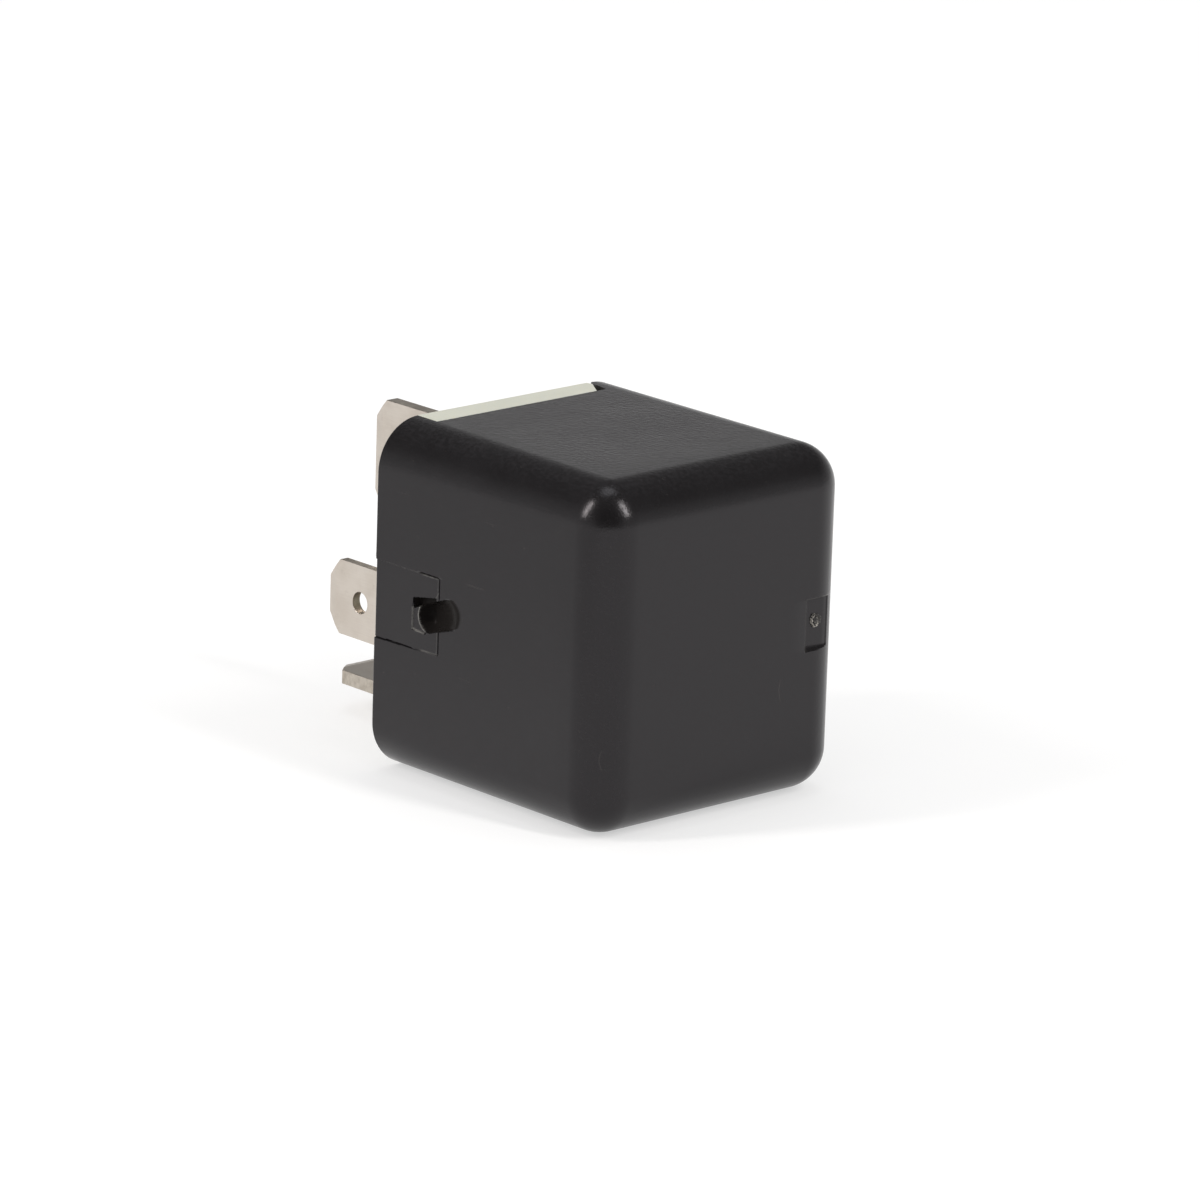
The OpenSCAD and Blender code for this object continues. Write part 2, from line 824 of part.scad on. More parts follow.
// Leaf spring: leg on the yoke, round bend over the heel, blade on the armature
module contact_spring() {
    inner = heel_radius + leg_gap;
    leg_face = leg_outer + leg_gap;
    lift = spring_low - pivot[0];
    bend_x = pivot[0] + (lift - inner + heel_radius * sin(open_angle)) / cos(open_angle);
    bend_z = leg_face - inner;
    blade_start = bend_z - pivot[2] + (bend_x - pivot[0]) * tan(open_angle);
    foot_x = rivet_x[0] - 2.4;
    tail = contact_z - contact_radius - 0.4;
    color("#c98a5a")
        difference() {
            union() {
                across(spring_width)
                    union() {
                        translate([foot_x, leg_face])
                            square([bend_x - foot_x, spring_thickness]);
                        translate([bend_x, bend_z])
                            difference() {
                                circle(r = inner + spring_thickness, $fn = 64);
                                circle(r = inner, $fn = 64);
                                translate([-10, -10])
                                    square([10, 20]);
                                rotate(-open_angle)
                                    translate([-10, -10])
                                        square([20, 10]);
                            }
                    }
                swung_open()
                    along(spring_low, spring_high)
                        polygon([
                            [-spring_width / 2, pivot[2] + blade_start],
                            [spring_width / 2, pivot[2] + blade_start],
                            [spring_width / 2, contact_z + contact_radius + 1.4],
                            [contact_radius + 0.5, contact_z + contact_radius],
                            [contact_radius + 0.5, tail],
                            [-contact_radius - 0.5, tail],
                            [-contact_radius - 0.5, contact_z + contact_radius],
                            [-spring_width / 2, contact_z + contact_radius + 1.4]
                        ]);
            }
            for (x = rivet_x)
                rod_z(yoke_rivet_radius + fit_gap, leg_outer - 1, leg_outer + 2, x);
            swung_open() {
                for (side = [-1, 1])
                    rod_x(armature_rivet_radius + fit_gap, armature_low, spring_high + 1,
                        side * rivet_y, rivet_z);
                rod_x(contact_shank + fit_gap, spring_low - 1, spring_high + 1, 0,
                    contact_z);
            }
        }
}

module yoke_rivets() {
    head_low = leg_outer + leg_gap + spring_thickness + fit_gap;
    color("#c9cac6")
        for (x = rivet_x)
            translate([x, 0, 0]) {
                rod_z(yoke_rivet_radius, leg_inner, head_low + rivet_head / 2);
                translate([0, 0, head_low])
                    cylinder(r1 = yoke_rivet_radius * 1.75, r2 = yoke_rivet_radius * 1.4,
                        h = rivet_head, $fn = 48);
            }
}

module armature_rivets() {
    color("#c9cac6")
        swung_open()
            for (side = [-1, 1])
                translate([0, side * rivet_y, rivet_z]) {
                    rod_x(armature_rivet_radius, armature_low, spring_high + rivet_head / 2);
                    translate([spring_high + fit_gap, 0, 0])
                        rotate([0, 90, 0])
                            cylinder(r1 = armature_rivet_radius * 1.55,
                                r2 = armature_rivet_radius * 1.22, h = rivet_head * 0.9,
                                $fn = 48);
                }
}

// ---------------------------------------------------------------- contacts

// Contact rivet about its own axis: crowned head below, shank, closing head above
module contact_rivet(head, shank, closing) {
    crown = 0.12;
    rotate([0, 90, 0])
        rotate_extrude($fn = 48)
            polygon([
                [0, -head],
                [contact_radius * 0.45, -head + crown * 0.2],
                [contact_radius * 0.8, -head + crown * 0.7],
                [contact_radius, -head + crown * 2],
                [contact_radius, 0],
                [contact_shank, 0],
                [contact_shank, shank],
                [contact_shank + 0.5, shank],
                [contact_shank + 0.3, shank + closing],
                [0, shank + closing]
            ]);
}

module moving_contact() {
    color("#d8d6d0")
        swung_open()
            translate([spring_low - fit_gap, 0, contact_z])
                contact_rivet(moving_contact_height - fit_gap,
                    spring_thickness + 2 * fit_gap, 0.4);
}

module fixed_contact() {
    color("#d8d6d0")
        translate([shelf_top + fit_gap, 0, contact_z])
            mirror([1, 0, 0])
                contact_rivet(fixed_contact_height - fit_gap,
                    power_tab_thickness + 2 * fit_gap, 0.3);
}

// Height of the open spring's upper face over a place along the armature
function blade_top(z) = pivot[0] + (spring_high - pivot[0]) / cos(open_angle)
    + (leg_outer - z) * tan(open_angle);

// Round-edged strand along a line of points given as (x, z)
module strand(points, radius) {
    for (i = [0 : len(points) - 2])
        hull()
            for (p = [points[i], points[i + 1]])
                translate(p)
                    circle(r = radius, $fn = 24);
}

// Flat braid from the spring's leg over the armature to its blade
module copper_braid() {
    half = braid_thickness / 2;
    leg_z = leg_outer + leg_gap + spring_thickness + fit_gap + half;
    weld_x = rivet_x[1] + braid_bend * 2;
    loop_z = leg_z + half;
    loop_x = spring_high + braid_bend + 0.3;
    bend = braid_bend;
    drop = rivet_drop;
    seat = half / cos(open_angle) + fit_gap;
    color("#c4743c")
        across(braid_width)
            union() {
                strand([
                    [weld_x, leg_z],
                    [weld_x + bend, leg_z],
                    [weld_x + 2 * bend, loop_z],
                    [loop_x - bend, loop_z]
                ], half);
                translate([loop_x - bend, loop_z - bend])
                    difference() {
                        circle(r = bend + half, $fn = 48);
                        circle(r = bend - half, $fn = 48);
                        translate([-10, -10])
                            square([10, 20]);
                        translate([-10, -10])
                            square([20, 10]);
                    }
                strand([
                    [loop_x, loop_z - bend],
                    [loop_x, pivot[2] - drop + 1.4 * bend],
                    [blade_top(pivot[2] - drop) + seat, pivot[2] - drop],
                    [blade_top(pivot[2] - drop - bend) + seat, pivot[2] - drop - bend]
                ], half);
            }
}

// ---------------------------------------------------------------- resistor

module resistor_body() {
    cap = resistor_radius * 0.85;
    half = resistor_length / 2;
    color("#c8b48c")
        translate([resistor_x, 0, resistor_z])
            rotate([-90, 0, 0])
                rotate_extrude($fn = 48)
                    polygon([
                        [0, -half],
                        [cap, -half],
                        [resistor_radius, -half + 0.4],
                        [resistor_radius, -half + 1.5],
                        [cap, -half + 1.9],
                        [cap, half - 1.9],
                        [resistor_radius, half - 1.5],
                        [resistor_radius, half - 0.4],
                        [cap, half],
                        [0, half]
                    ]);
}

module resistor_leads() {
    color("#c9cac6")
        both_sides()
            rod_y(lead_radius, resistor_length / 2 + fit_gap,
                tab_y + coil_tab_thickness / 2 + 0.5, resistor_x, resistor_z);
}

cover();
base();
terminal_30();
terminal_87();
terminal_85();
terminal_86();
yoke();
core();
bobbin();
coil_winding();
coil_leads();
armature();
contact_spring();
yoke_rivets();
armature_rivets();
moving_contact();
fixed_contact();
copper_braid();
resistor_body();
resistor_leads();
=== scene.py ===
import math
import random

import bpy
import bmesh
from mathutils import Matrix, Vector


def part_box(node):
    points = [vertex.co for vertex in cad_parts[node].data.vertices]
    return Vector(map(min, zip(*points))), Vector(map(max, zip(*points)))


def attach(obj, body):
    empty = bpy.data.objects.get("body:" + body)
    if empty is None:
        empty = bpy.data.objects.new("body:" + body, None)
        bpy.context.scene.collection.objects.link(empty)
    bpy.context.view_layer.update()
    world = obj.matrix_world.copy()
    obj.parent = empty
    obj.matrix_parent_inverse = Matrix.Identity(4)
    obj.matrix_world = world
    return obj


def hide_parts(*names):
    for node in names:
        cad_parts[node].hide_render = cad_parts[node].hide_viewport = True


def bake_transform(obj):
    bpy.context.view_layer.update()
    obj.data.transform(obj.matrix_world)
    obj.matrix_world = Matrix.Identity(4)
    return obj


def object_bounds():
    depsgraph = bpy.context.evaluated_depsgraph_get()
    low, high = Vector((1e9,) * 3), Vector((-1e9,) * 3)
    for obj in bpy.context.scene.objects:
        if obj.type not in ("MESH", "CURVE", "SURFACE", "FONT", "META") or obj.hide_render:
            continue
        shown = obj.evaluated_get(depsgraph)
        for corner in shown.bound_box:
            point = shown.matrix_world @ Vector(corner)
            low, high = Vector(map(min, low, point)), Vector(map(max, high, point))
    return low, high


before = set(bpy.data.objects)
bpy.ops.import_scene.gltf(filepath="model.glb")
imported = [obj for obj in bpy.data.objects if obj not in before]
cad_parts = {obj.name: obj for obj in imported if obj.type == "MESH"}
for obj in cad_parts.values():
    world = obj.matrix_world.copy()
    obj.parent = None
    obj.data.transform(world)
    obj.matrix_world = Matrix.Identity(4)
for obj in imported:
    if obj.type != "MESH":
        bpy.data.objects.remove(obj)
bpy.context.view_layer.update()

MM = 0.001
RELAY = "relay"
scene = bpy.context.scene
random.seed(7)


# ------------------------------------------------------------------ node helpers

class Nodes:
    """A material's node tree, with short calls for the nodes used here."""

    def __init__(self, name):
        self.material = bpy.data.materials.new(name)
        self.material.use_nodes = True
        self.tree = self.material.node_tree
        self.shader = self.tree.nodes["Principled BSDF"]
        self.coordinates = self.tree.nodes.new("ShaderNodeTexCoord").outputs["Object"]

    def add(self, kind, inputs=(), **settings):
        node = self.tree.nodes.new(kind)
        for key, value in settings.items():
            setattr(node, key, value)
        for key, value in dict(inputs).items():
            self.put(node.inputs[key], value)
        return node

    def put(self, socket, value):
        """Links a socket to the value, or sets it where the value is a constant."""
        if isinstance(value, bpy.types.NodeSocket):
            self.tree.links.new(value, socket)
        else:
            socket.default_value = value

    def set(self, **values):
        """Sets the shader's sockets, with their names' spaces written as underscores."""
        for key, value in values.items():
            self.put(self.shader.inputs[key.replace("_", " ")], value)

    def stretched(self, scale, turn=(0, 0, 0)):
        """Object coordinates scaled per millimetre."""
        return self.add("ShaderNodeMapping",
                        {"Vector": self.coordinates, "Rotation": turn,
                         "Scale": [s / MM for s in scale]}).outputs["Vector"]

    def noise(self, scale, detail=3, rough=0.5, turn=(0, 0, 0)):
        """Cloudy noise; the scale along each axis is per millimetre."""
        node = self.add("ShaderNodeTexNoise",
                        {"Vector": self.stretched(scale, turn), "Scale": 1,
                         "Detail": detail, "Roughness": rough})
        return node.outputs[0]

    def spots(self, scale, radius, share, soft=0.3):
        """1 inside scattered round spots, 0 elsewhere."""
        node = self.add("ShaderNodeTexVoronoi", {"Vector": self.stretched(scale), "Scale": 1})
        near = self.fade(node.outputs["Distance"], radius * (1 - soft), radius, 1, 0)
        pick = self.add("ShaderNodeSeparateColor", {"Color": node.outputs["Color"]})
        chosen = self.maths("LESS_THAN", pick.outputs[0], share)
        return self.maths("MULTIPLY", near, chosen)

    def scratch(self, y, low, high, strength):
        """A thin wavering scratch that runs up the end at one place along Y."""
        waves, sway_by, core, blur, tip, from_x = 2.3, 0.12, 0.015, 0.05, 0.5, 5.0
        split = self.add("ShaderNodeSeparateXYZ", {"Vector": self.stretched((1, 1, 1))})
        sway = self.maths("MULTIPLY", self.maths("SINE", self.maths(
            "MULTIPLY", split.outputs["Z"], waves)), sway_by)
        away = self.maths("ABSOLUTE", self.maths("SUBTRACT", self.maths(
            "ADD", split.outputs["Y"], sway), y))
        line = self.fade(away, core, blur, strength, 0)
        ends = self.maths("MULTIPLY", self.fade(split.outputs["Z"], low, low + tip, 0, 1),
                          self.fade(split.outputs["Z"], high - tip, high, 1, 0))
        front = self.maths("GREATER_THAN", split.outputs["X"], from_x)
        return self.maths("MULTIPLY", self.maths("MULTIPLY", line, ends), front)

    def fade(self, value, low, high, out_low, out_high):
        """Goes smoothly from out_low to out_high while the value goes from low to high."""
        node = self.add("ShaderNodeMapRange", interpolation_type="SMOOTHSTEP")
        for key, number in zip(("Value", "From Min", "From Max", "To Min", "To Max"),
                               (value, low, high, out_low, out_high)):
            self.put(node.inputs[key], number)
        return node.outputs["Result"]

    def maths(self, operation, first, second=0.0):
        node = self.add("ShaderNodeMath", operation=operation)
        self.put(node.inputs[0], first)
        self.put(node.inputs[1], second)
        return node.outputs["Value"]

    def mix(self, factor, first, second):
        node = self.add("ShaderNodeMix", data_type="RGBA")
        self.put(node.inputs[0], factor)
        self.put(node.inputs[6], first)
        self.put(node.inputs[7], second)
        return node.outputs[2]

    def bump(self, *layers):
        """Layers are (height, distance in mm); each adds to the one before."""
        normal = None
        for height, distance in layers:
            node = self.add("ShaderNodeBump", {"Height": height, "Distance": distance * MM,
                                               "Strength": 1.0})
            if normal is not None:
                self.put(node.inputs["Normal"], normal)
            normal = node.outputs["Normal"]
        self.put(self.shader.inputs["Normal"], normal)


def rgb(red, green, blue):
    """An opaque colour in linear light."""
    return (red, green, blue, 1)


# ------------------------------------------------------------------ materials

ERODED_Z = (12.6 * MM, 14.2 * MM)   # the top's grain sets in between these heights
PAINTED_SHADE_FULL = 0.5                     # share of the painted shade attribute that counts as all


def cover_material():
    """Satin black moulding: fine grain, drag lines, dust, scratches, pale flash on the gate,
    painted highlights on the latch face's edges and painted shade in its scoop and slot.
    """
    m = Nodes("cover_black")
    grain = m.noise((7, 7, 7), 2, 0.6)
    clouds = m.noise((0.16, 0.16, 0.16), 3, 0.5)
    drag = m.noise((0.9, 5.5, 5.5), 2, 0.5, (0, 0, 0.9))
    tone = m.mix(clouds, rgb(0.0078, 0.0070, 0.0074), rgb(0.0105, 0.0095, 0.0101))
    tone = m.mix(m.fade(drag, 0.52, 0.75, 0, 0.35), tone, rgb(0.019, 0.0182, 0.0192))
    # the top is eroded a little coarser than the sides
    height = m.add("ShaderNodeSeparateXYZ", {"Vector": m.coordinates}).outputs["Z"]
    top = m.fade(height, *ERODED_Z, 0, 1)
    eroded = m.noise((3, 3, 3), 3, 0.65)
    tone = m.mix(m.maths("MULTIPLY", m.fade(eroded, 0.42, 0.62, 0, 1), top), tone,
                 rgb(0.017, 0.0158, 0.017))
    dust = m.maths("MAXIMUM", m.spots((0.36, 0.36, 0.36), 0.02, 0.3),
                   m.maths("MULTIPLY", m.spots((0.8, 2.2, 2.2), 0.06, 0.1), 0.3))
    hairs = m.noise((0.13, 9, 4), 1, 0.3, (0.4, 0.9, 0.5))
    hairs = m.fade(hairs, 0.78, 0.82, 0, 0.05)
    marks = m.maths("MAXIMUM", m.maths("MULTIPLY", dust, 0.8), hairs)
    for place_y, low, high, strength in ((6.1, -6.0, -3.8, 0.1), (-12.2, -8.6, -6.6, 0.06)):
        marks = m.maths("MAXIMUM", marks, m.scratch(place_y, low, high, strength))
    tone = m.mix(marks, tone, rgb(0.26, 0.235, 0.21))
    # pale whitening on the gate, painted highlights on the latch face's edges and the scoop's
    # lip, and painted shade in the scoop and the slot
    flash_and_highlight = m.add("ShaderNodeAttribute", attribute_name="pale").outputs["Fac"]
    broken = m.fade(m.noise((4, 4, 4), 3, 0.6), 0.3, 0.6, 0.45, 1)
    deep = m.add("ShaderNodeAttribute", attribute_name="deep").outputs["Fac"]
    deep = m.fade(deep, 0, PAINTED_SHADE_FULL, 0, 1)
    flash_and_highlight = m.maths("MULTIPLY", flash_and_highlight, m.maths("SUBTRACT", 1.0, deep))
    # painted shade: the scoop and the slot take a flat brownish tone
    tone = m.mix(deep, tone, rgb(0.0175, 0.0155, 0.0145))
    # the pale mix is whitened plastic on the gate and painted highlights on the latch face
    m.set(Base_Color=m.mix(m.maths("MULTIPLY", flash_and_highlight, broken), tone, rgb(0.3, 0.29, 0.27)))
    m.set(Roughness=m.fade(m.maths("ADD", m.maths("MULTIPLY", clouds, 0.6),
                                   m.maths("MULTIPLY", grain, 0.4)), 0.3, 0.7, 0.19, 0.27))
    # painted shade also turns the reflection down in the scoop and the slot
    m.set(IOR=1.43, Specular_Tint=rgb(1.0, 0.96, 1.0),
          Specular_IOR_Level=m.fade(deep, 0, 1, 0.5, 0.03))
    m.bump((grain, 0.007), (drag, 0.006), (m.maths("MULTIPLY", eroded, top), 0.03))
    return m.material


def stub_material():
    """Torn plastic where the gate broke off: whitened ridges round a dark middle."""
    m = Nodes("torn_plastic")
    tear = m.noise((4, 7, 7), 4, 0.7)
    ridge = m.add("ShaderNodeAttribute", attribute_name="pale").outputs["Fac"]
    lit = m.maths("MULTIPLY", m.fade(tear, 0.42, 0.62, 0, 1), m.fade(ridge, 0, 1, 0.16, 1))
    m.set(Base_Color=m.mix(lit, rgb(0.02, 0.019, 0.02), rgb(0.62, 0.58, 0.52)),
          Roughness=0.5)
    m.bump((tear, 0.06))
    return m.material


def base_material():
    """Cream moulding with slight mottling and a few darker specks."""
    m = Nodes("base_cream")
    flow = m.noise((0.5, 0.22, 0.5), 3, 0.5)
    grain = m.noise((6, 6, 6), 2, 0.5)
    tone = m.mix(flow, rgb(0.57, 0.58, 0.495), rgb(0.65, 0.65, 0.565))
    speck = m.spots((0.9, 0.9, 0.9), 0.06, 0.16)
    m.set(Base_Color=m.mix(m.maths("MULTIPLY", speck, 0.35), tone, rgb(0.35, 0.33, 0.25)))
    m.set(Roughness=m.fade(grain, 0.3, 0.7, 0.42, 0.56))
    m.set(Subsurface_Weight=0.15, Subsurface_Scale=0.0006,
          Subsurface_Radius=(1.0, 0.9, 0.6))
    m.bump((grain, 0.008), (flow, 0.02))
    return m.material


def metal(name, low, high, rough, grain, rolling, depth, stain=None, coat=0.0):
    """Metal with rolling lines along one axis and a slow change of tone."""
    m = Nodes(name)
    rolled = m.noise(rolling, 3, 0.55)
    clouds = m.noise((0.35, 0.35, 0.35), 3, 0.6)
    tone = m.mix(m.fade(m.maths("ADD", m.maths("MULTIPLY", rolled, grain),
                                m.maths("MULTIPLY", clouds, 1 - grain)), 0.3, 0.7, 0, 1),
                 rgb(*low), rgb(*high))
    if stain:
        tone = m.mix(m.fade(m.noise((1.1, 1.1, 1.1), 4, 0.65), 0.58, 0.74, 0, 0.6), tone,
                     rgb(*stain))
    m.set(Base_Color=tone, Metallic=1.0)
    m.set(Roughness=m.fade(rolled, 0.25, 0.75, rough - 0.05, rough + 0.07))
    if coat:
        m.set(Coat_Weight=coat, Coat_Roughness=0.12)
    m.bump((rolled, depth), (clouds, depth * 2))
    return m.material


def moulding(name, low, high, rough):
    """Plain moulded plastic with a fine grain."""
    m = Nodes(name)
    flow = m.noise((0.4, 0.4, 0.4), 3, 0.5)
    grain = m.noise((7, 7, 7), 2, 0.5)
    m.set(Base_Color=m.mix(flow, rgb(*low), rgb(*high)))
    m.set(Roughness=m.fade(grain, 0.3, 0.7, rough - 0.06, rough + 0.06))
    m.bump((grain, 0.008))
    return m.material


def resistor_material(centre_y):
    """Lacquered body with four colour bands."""
    m = Nodes("resistor_bands")
    shift = m.add("ShaderNodeSeparateXYZ", {"Vector": m.coordinates}).outputs["Y"]
    place = m.maths("SUBTRACT", shift, centre_y)
    tone = m.mix(m.noise((1, 1, 1), 3, 0.5), rgb(0.52, 0.42, 0.26), rgb(0.6, 0.5, 0.33))
    bands = ((-2.5, (0.02, 0.05, 0.28)), (-1.1, (0.16, 0.17, 0.17)),
             (0.1, (0.12, 0.045, 0.015)), (2.4, (0.5, 0.33, 0.08)))
    half_band, paint_edge = 0.26 * MM, 0.33 * MM
    for middle, colour in bands:
        away = m.maths("ABSOLUTE", m.maths("SUBTRACT", place, middle * MM))
        tone = m.mix(m.fade(away, half_band, paint_edge, 1, 0), tone, rgb(*colour))
    m.set(Base_Color=tone, Roughness=0.32, Coat_Weight=0.5, Coat_Roughness=0.15)
    m.bump((m.noise((2, 2, 2), 3, 0.5), 0.02))
    return m.material


def braid_material():
    """Bare copper wires woven across each other."""
    m = Nodes("braid_weave")
    waves = [m.add("ShaderNodeTexWave", {"Vector": m.stretched((1.5, side, -1.5)), "Scale": 1},
                   bands_direction="DIAGONAL") for side in (1.5, -1.5)]
    weave = m.maths("MAXIMUM", waves[0].outputs["Fac"], waves[1].outputs["Fac"])
    m.set(Base_Color=m.mix(weave, rgb(0.3, 0.11, 0.05), rgb(0.78, 0.4, 0.23)),
          Metallic=1.0, Roughness=m.fade(weave, 0, 1, 0.55, 0.3))
    m.bump((weave, 0.06))
    return m.material


TINNED = metal("tinned_faces", (0.655, 0.59, 0.52), (0.745, 0.685, 0.615), 0.38, 0.35,
               (0.6, 9, 9), 0.002, (0.6, 0.54, 0.47))
CUT = metal("punched_edges", (0.42, 0.37, 0.31), (0.66, 0.605, 0.53), 0.42, 0.5,
            (3.5, 2.2, 2.2), 0.012)
COVER = cover_material()
STUB = stub_material()
CREAM = base_material()
STEEL = metal("zinc_steel", (0.47, 0.475, 0.47), (0.63, 0.63, 0.61), 0.3, 0.4,
              (1, 7, 7), 0.004, (0.5, 0.49, 0.43))
RIVET = metal("rivet_steel", (0.5, 0.5, 0.49), (0.66, 0.655, 0.64), 0.26, 0.4,
              (4, 4, 4), 0.004)
SILVER = metal("silver_contact", (0.66, 0.65, 0.62), (0.8, 0.79, 0.77), 0.24, 0.4,
               (4, 4, 4), 0.006, (0.42, 0.38, 0.3))
BRONZE = metal("spring_bronze", (0.5, 0.29, 0.14), (0.68, 0.43, 0.24), 0.3, 0.6,
               (9, 9, 0.8), 0.003)
COPPER = metal("enamelled_copper", (0.42, 0.13, 0.045), (0.6, 0.22, 0.08), 0.28, 0.5,
               (3, 1.5, 1.5), 0.004, coat=0.7)
BOBBIN = moulding("bobbin_white", (0.7, 0.67, 0.58), (0.79, 0.765, 0.68), 0.45)
BRAID = braid_material()


# ------------------------------------------------------------------ the cover

# The cover's sizes are in millimetres, and its rim lies at x = 0.
LENGTH, HALF_W, HALF_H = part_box("cover")[1] / MM
WALL = 1.2
DRAFT = math.tan(math.radians(0.27))
END_RADIUS = 3.55
RIM_RADIUS = 4.1
END_X = LENGTH - END_RADIUS
END_Y = HALF_W - END_X * DRAFT - END_RADIUS
END_Z = HALF_H - END_X * DRAFT - END_RADIUS
CORNER_STEPS = 16
FIXED_Z = 3.9           # columns nearer the middle than this keep their place
FIXED_Y = 8.0
LATCH_Z = 3.75          # the latch face's forms end here
GRID_Z = 3.7            # and its fine grid here
FINE_STEP = 0.07
FINE_X = (4.3, 8.3)     # fine levels round the pocket and the scoop's ball end
MIDDLE_STEP, MIDDLE_X = 0.14, (8.44, 10.8)
COARSE_STEP, COARSE_X = 1.6, 11.4
RIM_LEVELS = [0, 0.03, 0.1, 0.6, 1.4, 2.0]
RIM_INSET = {0: 0.1, 0.03: 0.03}    # the rim's rounded edge

# notch in the rim's top: the place of its end along Y at each level along X
NOTCH_X = 2.5
NOTCH_END = dict(zip(RIM_LEVELS + [NOTCH_X], (9.36, 9.33, 9.27, 9.08, 8.96, 8.86, 8.74)))
NOTCH_Y, NOTCH_MID_Y = 9.2, 9.5

# relieved panel of the latch face, with a seam round the insert
PANEL_X, PANEL_Z = 7.7, 3.2
PANEL_SAG, PANEL_CLIMB = 0.06, 0.02
PANEL_DEPTH, PANEL_LOSS = 0.1, 0.06
RIGHT_SEAM, LOW_SEAM, TOP_SEAM = 0.3, 0.2, 0.14
POCKET_X = (4.5, 6.2)
POCKET_LOW, POCKET_HIGH, POCKET_FALL = -1.5, 0.5, 0.03
POCKET_DEPTH = 0.16

# the slot's lower and upper edge: a point along X, the height there, and the climb
SLOT_X = (4.62, 7.3)
SLOT_LOW = (4.65, 0.2, 0.36)
SLOT_HIGH = (4.6, 1.0, 0.18)
SLOT_DEPTH = 0.8
SLOT_SOFT = 0.12

# ball-ended scoop that runs out away from the rim
SCOOP_X, SCOOP_Z = 6.42, -0.3   # middle of the ball end
SCOOP_TURN = math.radians(18)
SCOOP_SLOPE = math.tan(math.radians(24))
SCOOP_WALL = 1.2
SCOOP_LIP = 0.14
SCOOP_REACH = 3.5
SCOOP_DEPTH = 1.75
SCOOP_SUNK = 0.03
SCOOP_CROWN = 0.12              # how fast the trough's floor rises off its middle line
RUNOUT_SOFT, FLOOR_SOFT = 0.3, 0.6
SHADE_CURVE = 0.45
SLOT_SHADE = 0.8

# boss behind the latch face
BOSS_START, BOSS_END = 2.9, PANEL_X + 1.3
BOSS_RISE = 0.9

# gate recess in the closed end, and the stub that stands in it
GATE_X = LENGTH - 0.35
GATE_Y = HALF_W - 4.75
GATE_Z = 2.1
STUB_Y, STUB_Z = GATE_Y + 1.3, 0.28
STUB_STEPS = 40
STUB_PROFILE = ((-0.05, 0.58), (0.05, 0.56), (0.17, 0.5), (0.14, 0.4),
                (0.04, 0.31), (0.12, 0.24), (0.09, 0.14), (0.03, 0.05))
STUB_RIDGE = 0.24               # radius of the inner ridge, whitened on one side


def around(value, gaps=(-0.07, -0.025, 0.025, 0.07)):
    """Grid lines on both sides of an edge."""
    return [value + gap for gap in gaps]


def lines(step, low, high, extra):
    """Even grid lines from low to high, thinned out near the extra ones."""
    count = max(1, round((high - low) / step))
    even = [low + (high - low) * i / count for i in range(count + 1)]
    kept = [v for v in even if all(abs(v - e) > step * 0.45 for e in extra)]
    return sorted(set(round(v, 5) for v in kept + list(extra)))


def smooth(value, low, high):
    """0 below low and 1 above high, with a smooth step between them."""
    t = min(1, max(0, (value - low) / (high - low)))
    return t * t * (3 - 2 * t)


def between(value, low, high, soft):
    """1 well between low and high, with shoulders centred on both."""
    half = soft / 2
    return smooth(value, low - half, low + half) * (1 - smooth(value, high - half, high + half))


def from_line(x, z, points):
    """Distance from a point to a chain of straight lines."""
    nearest = 1e9
    for (x0, z0), (x1, z1) in zip(points, points[1:]):
        run_x, run_z = x1 - x0, z1 - z0
        t = ((x - x0) * run_x + (z - z0) * run_z) / (run_x ** 2 + run_z ** 2)
        t = min(1, max(0, t))
        nearest = min(nearest, math.hypot(x - x0 - t * run_x, z - z0 - t * run_z))
    return nearest


def in_scoop(x, z):
    """A point's place along the scoop, and off its middle line."""
    away_x, away_z = x - SCOOP_X, z - SCOOP_Z
    return (away_x * math.cos(SCOOP_TURN) + away_z * math.sin(SCOOP_TURN),
            away_z * math.cos(SCOOP_TURN) - away_x * math.sin(SCOOP_TURN))


def scoop_depth(x, z):
    """Steep ball end with a rounded lip, then a trough that climbs straight and runs out."""
    along, off = in_scoop(x, z)
    left = SCOOP_REACH - along
    floor = SCOOP_SLOPE * (left + math.sqrt(left * left + RUNOUT_SOFT)) / 2 - SCOOP_SUNK
    floor -= SCOOP_CROWN * off * off
    spare = SCOOP_DEPTH - floor
    floor = SCOOP_DEPTH - (spare + math.hypot(spare, FLOOR_SOFT)) / 2
    reach = math.hypot(off, min(0, along))
    if floor <= 0 or reach >= SCOOP_WALL + SCOOP_LIP:
        return 0
    if reach > SCOOP_WALL:
        into = SCOOP_WALL + SCOOP_LIP - reach
        return min(floor, SCOOP_LIP - math.sqrt(max(0, SCOOP_LIP ** 2 - into ** 2)))
    across = math.sqrt(max(0, 1 - (reach / SCOOP_WALL) ** 4))
    lip = min(SCOOP_LIP, floor)
    return lip + (floor - lip) * across


def slot_share(x, z):
    """1 inside the tapered slot over the insert, 0 outside."""
    low, high = (height + climb * (x - start) for start, height, climb in
                 (SLOT_LOW, SLOT_HIGH))
    return between(x, *SLOT_X, SLOT_SOFT) * between(z, low, high, SLOT_SOFT)


def unlit(x, z):
    """Painted shade of the latch face: how little light reaches a point, 1 in the scoop and the
    slot.
    """
    along, off = in_scoop(x, z)
    # the shade ends in a curve across the trough
    left = SCOOP_REACH - along - SHADE_CURVE * off * off
    inside = 1 - smooth(math.hypot(off, min(0, along)), SCOOP_WALL - 0.1, SCOOP_WALL + 0.08)
    return max(inside * smooth(left, -1.05, 0.55), SLOT_SHADE * slot_share(x, z))


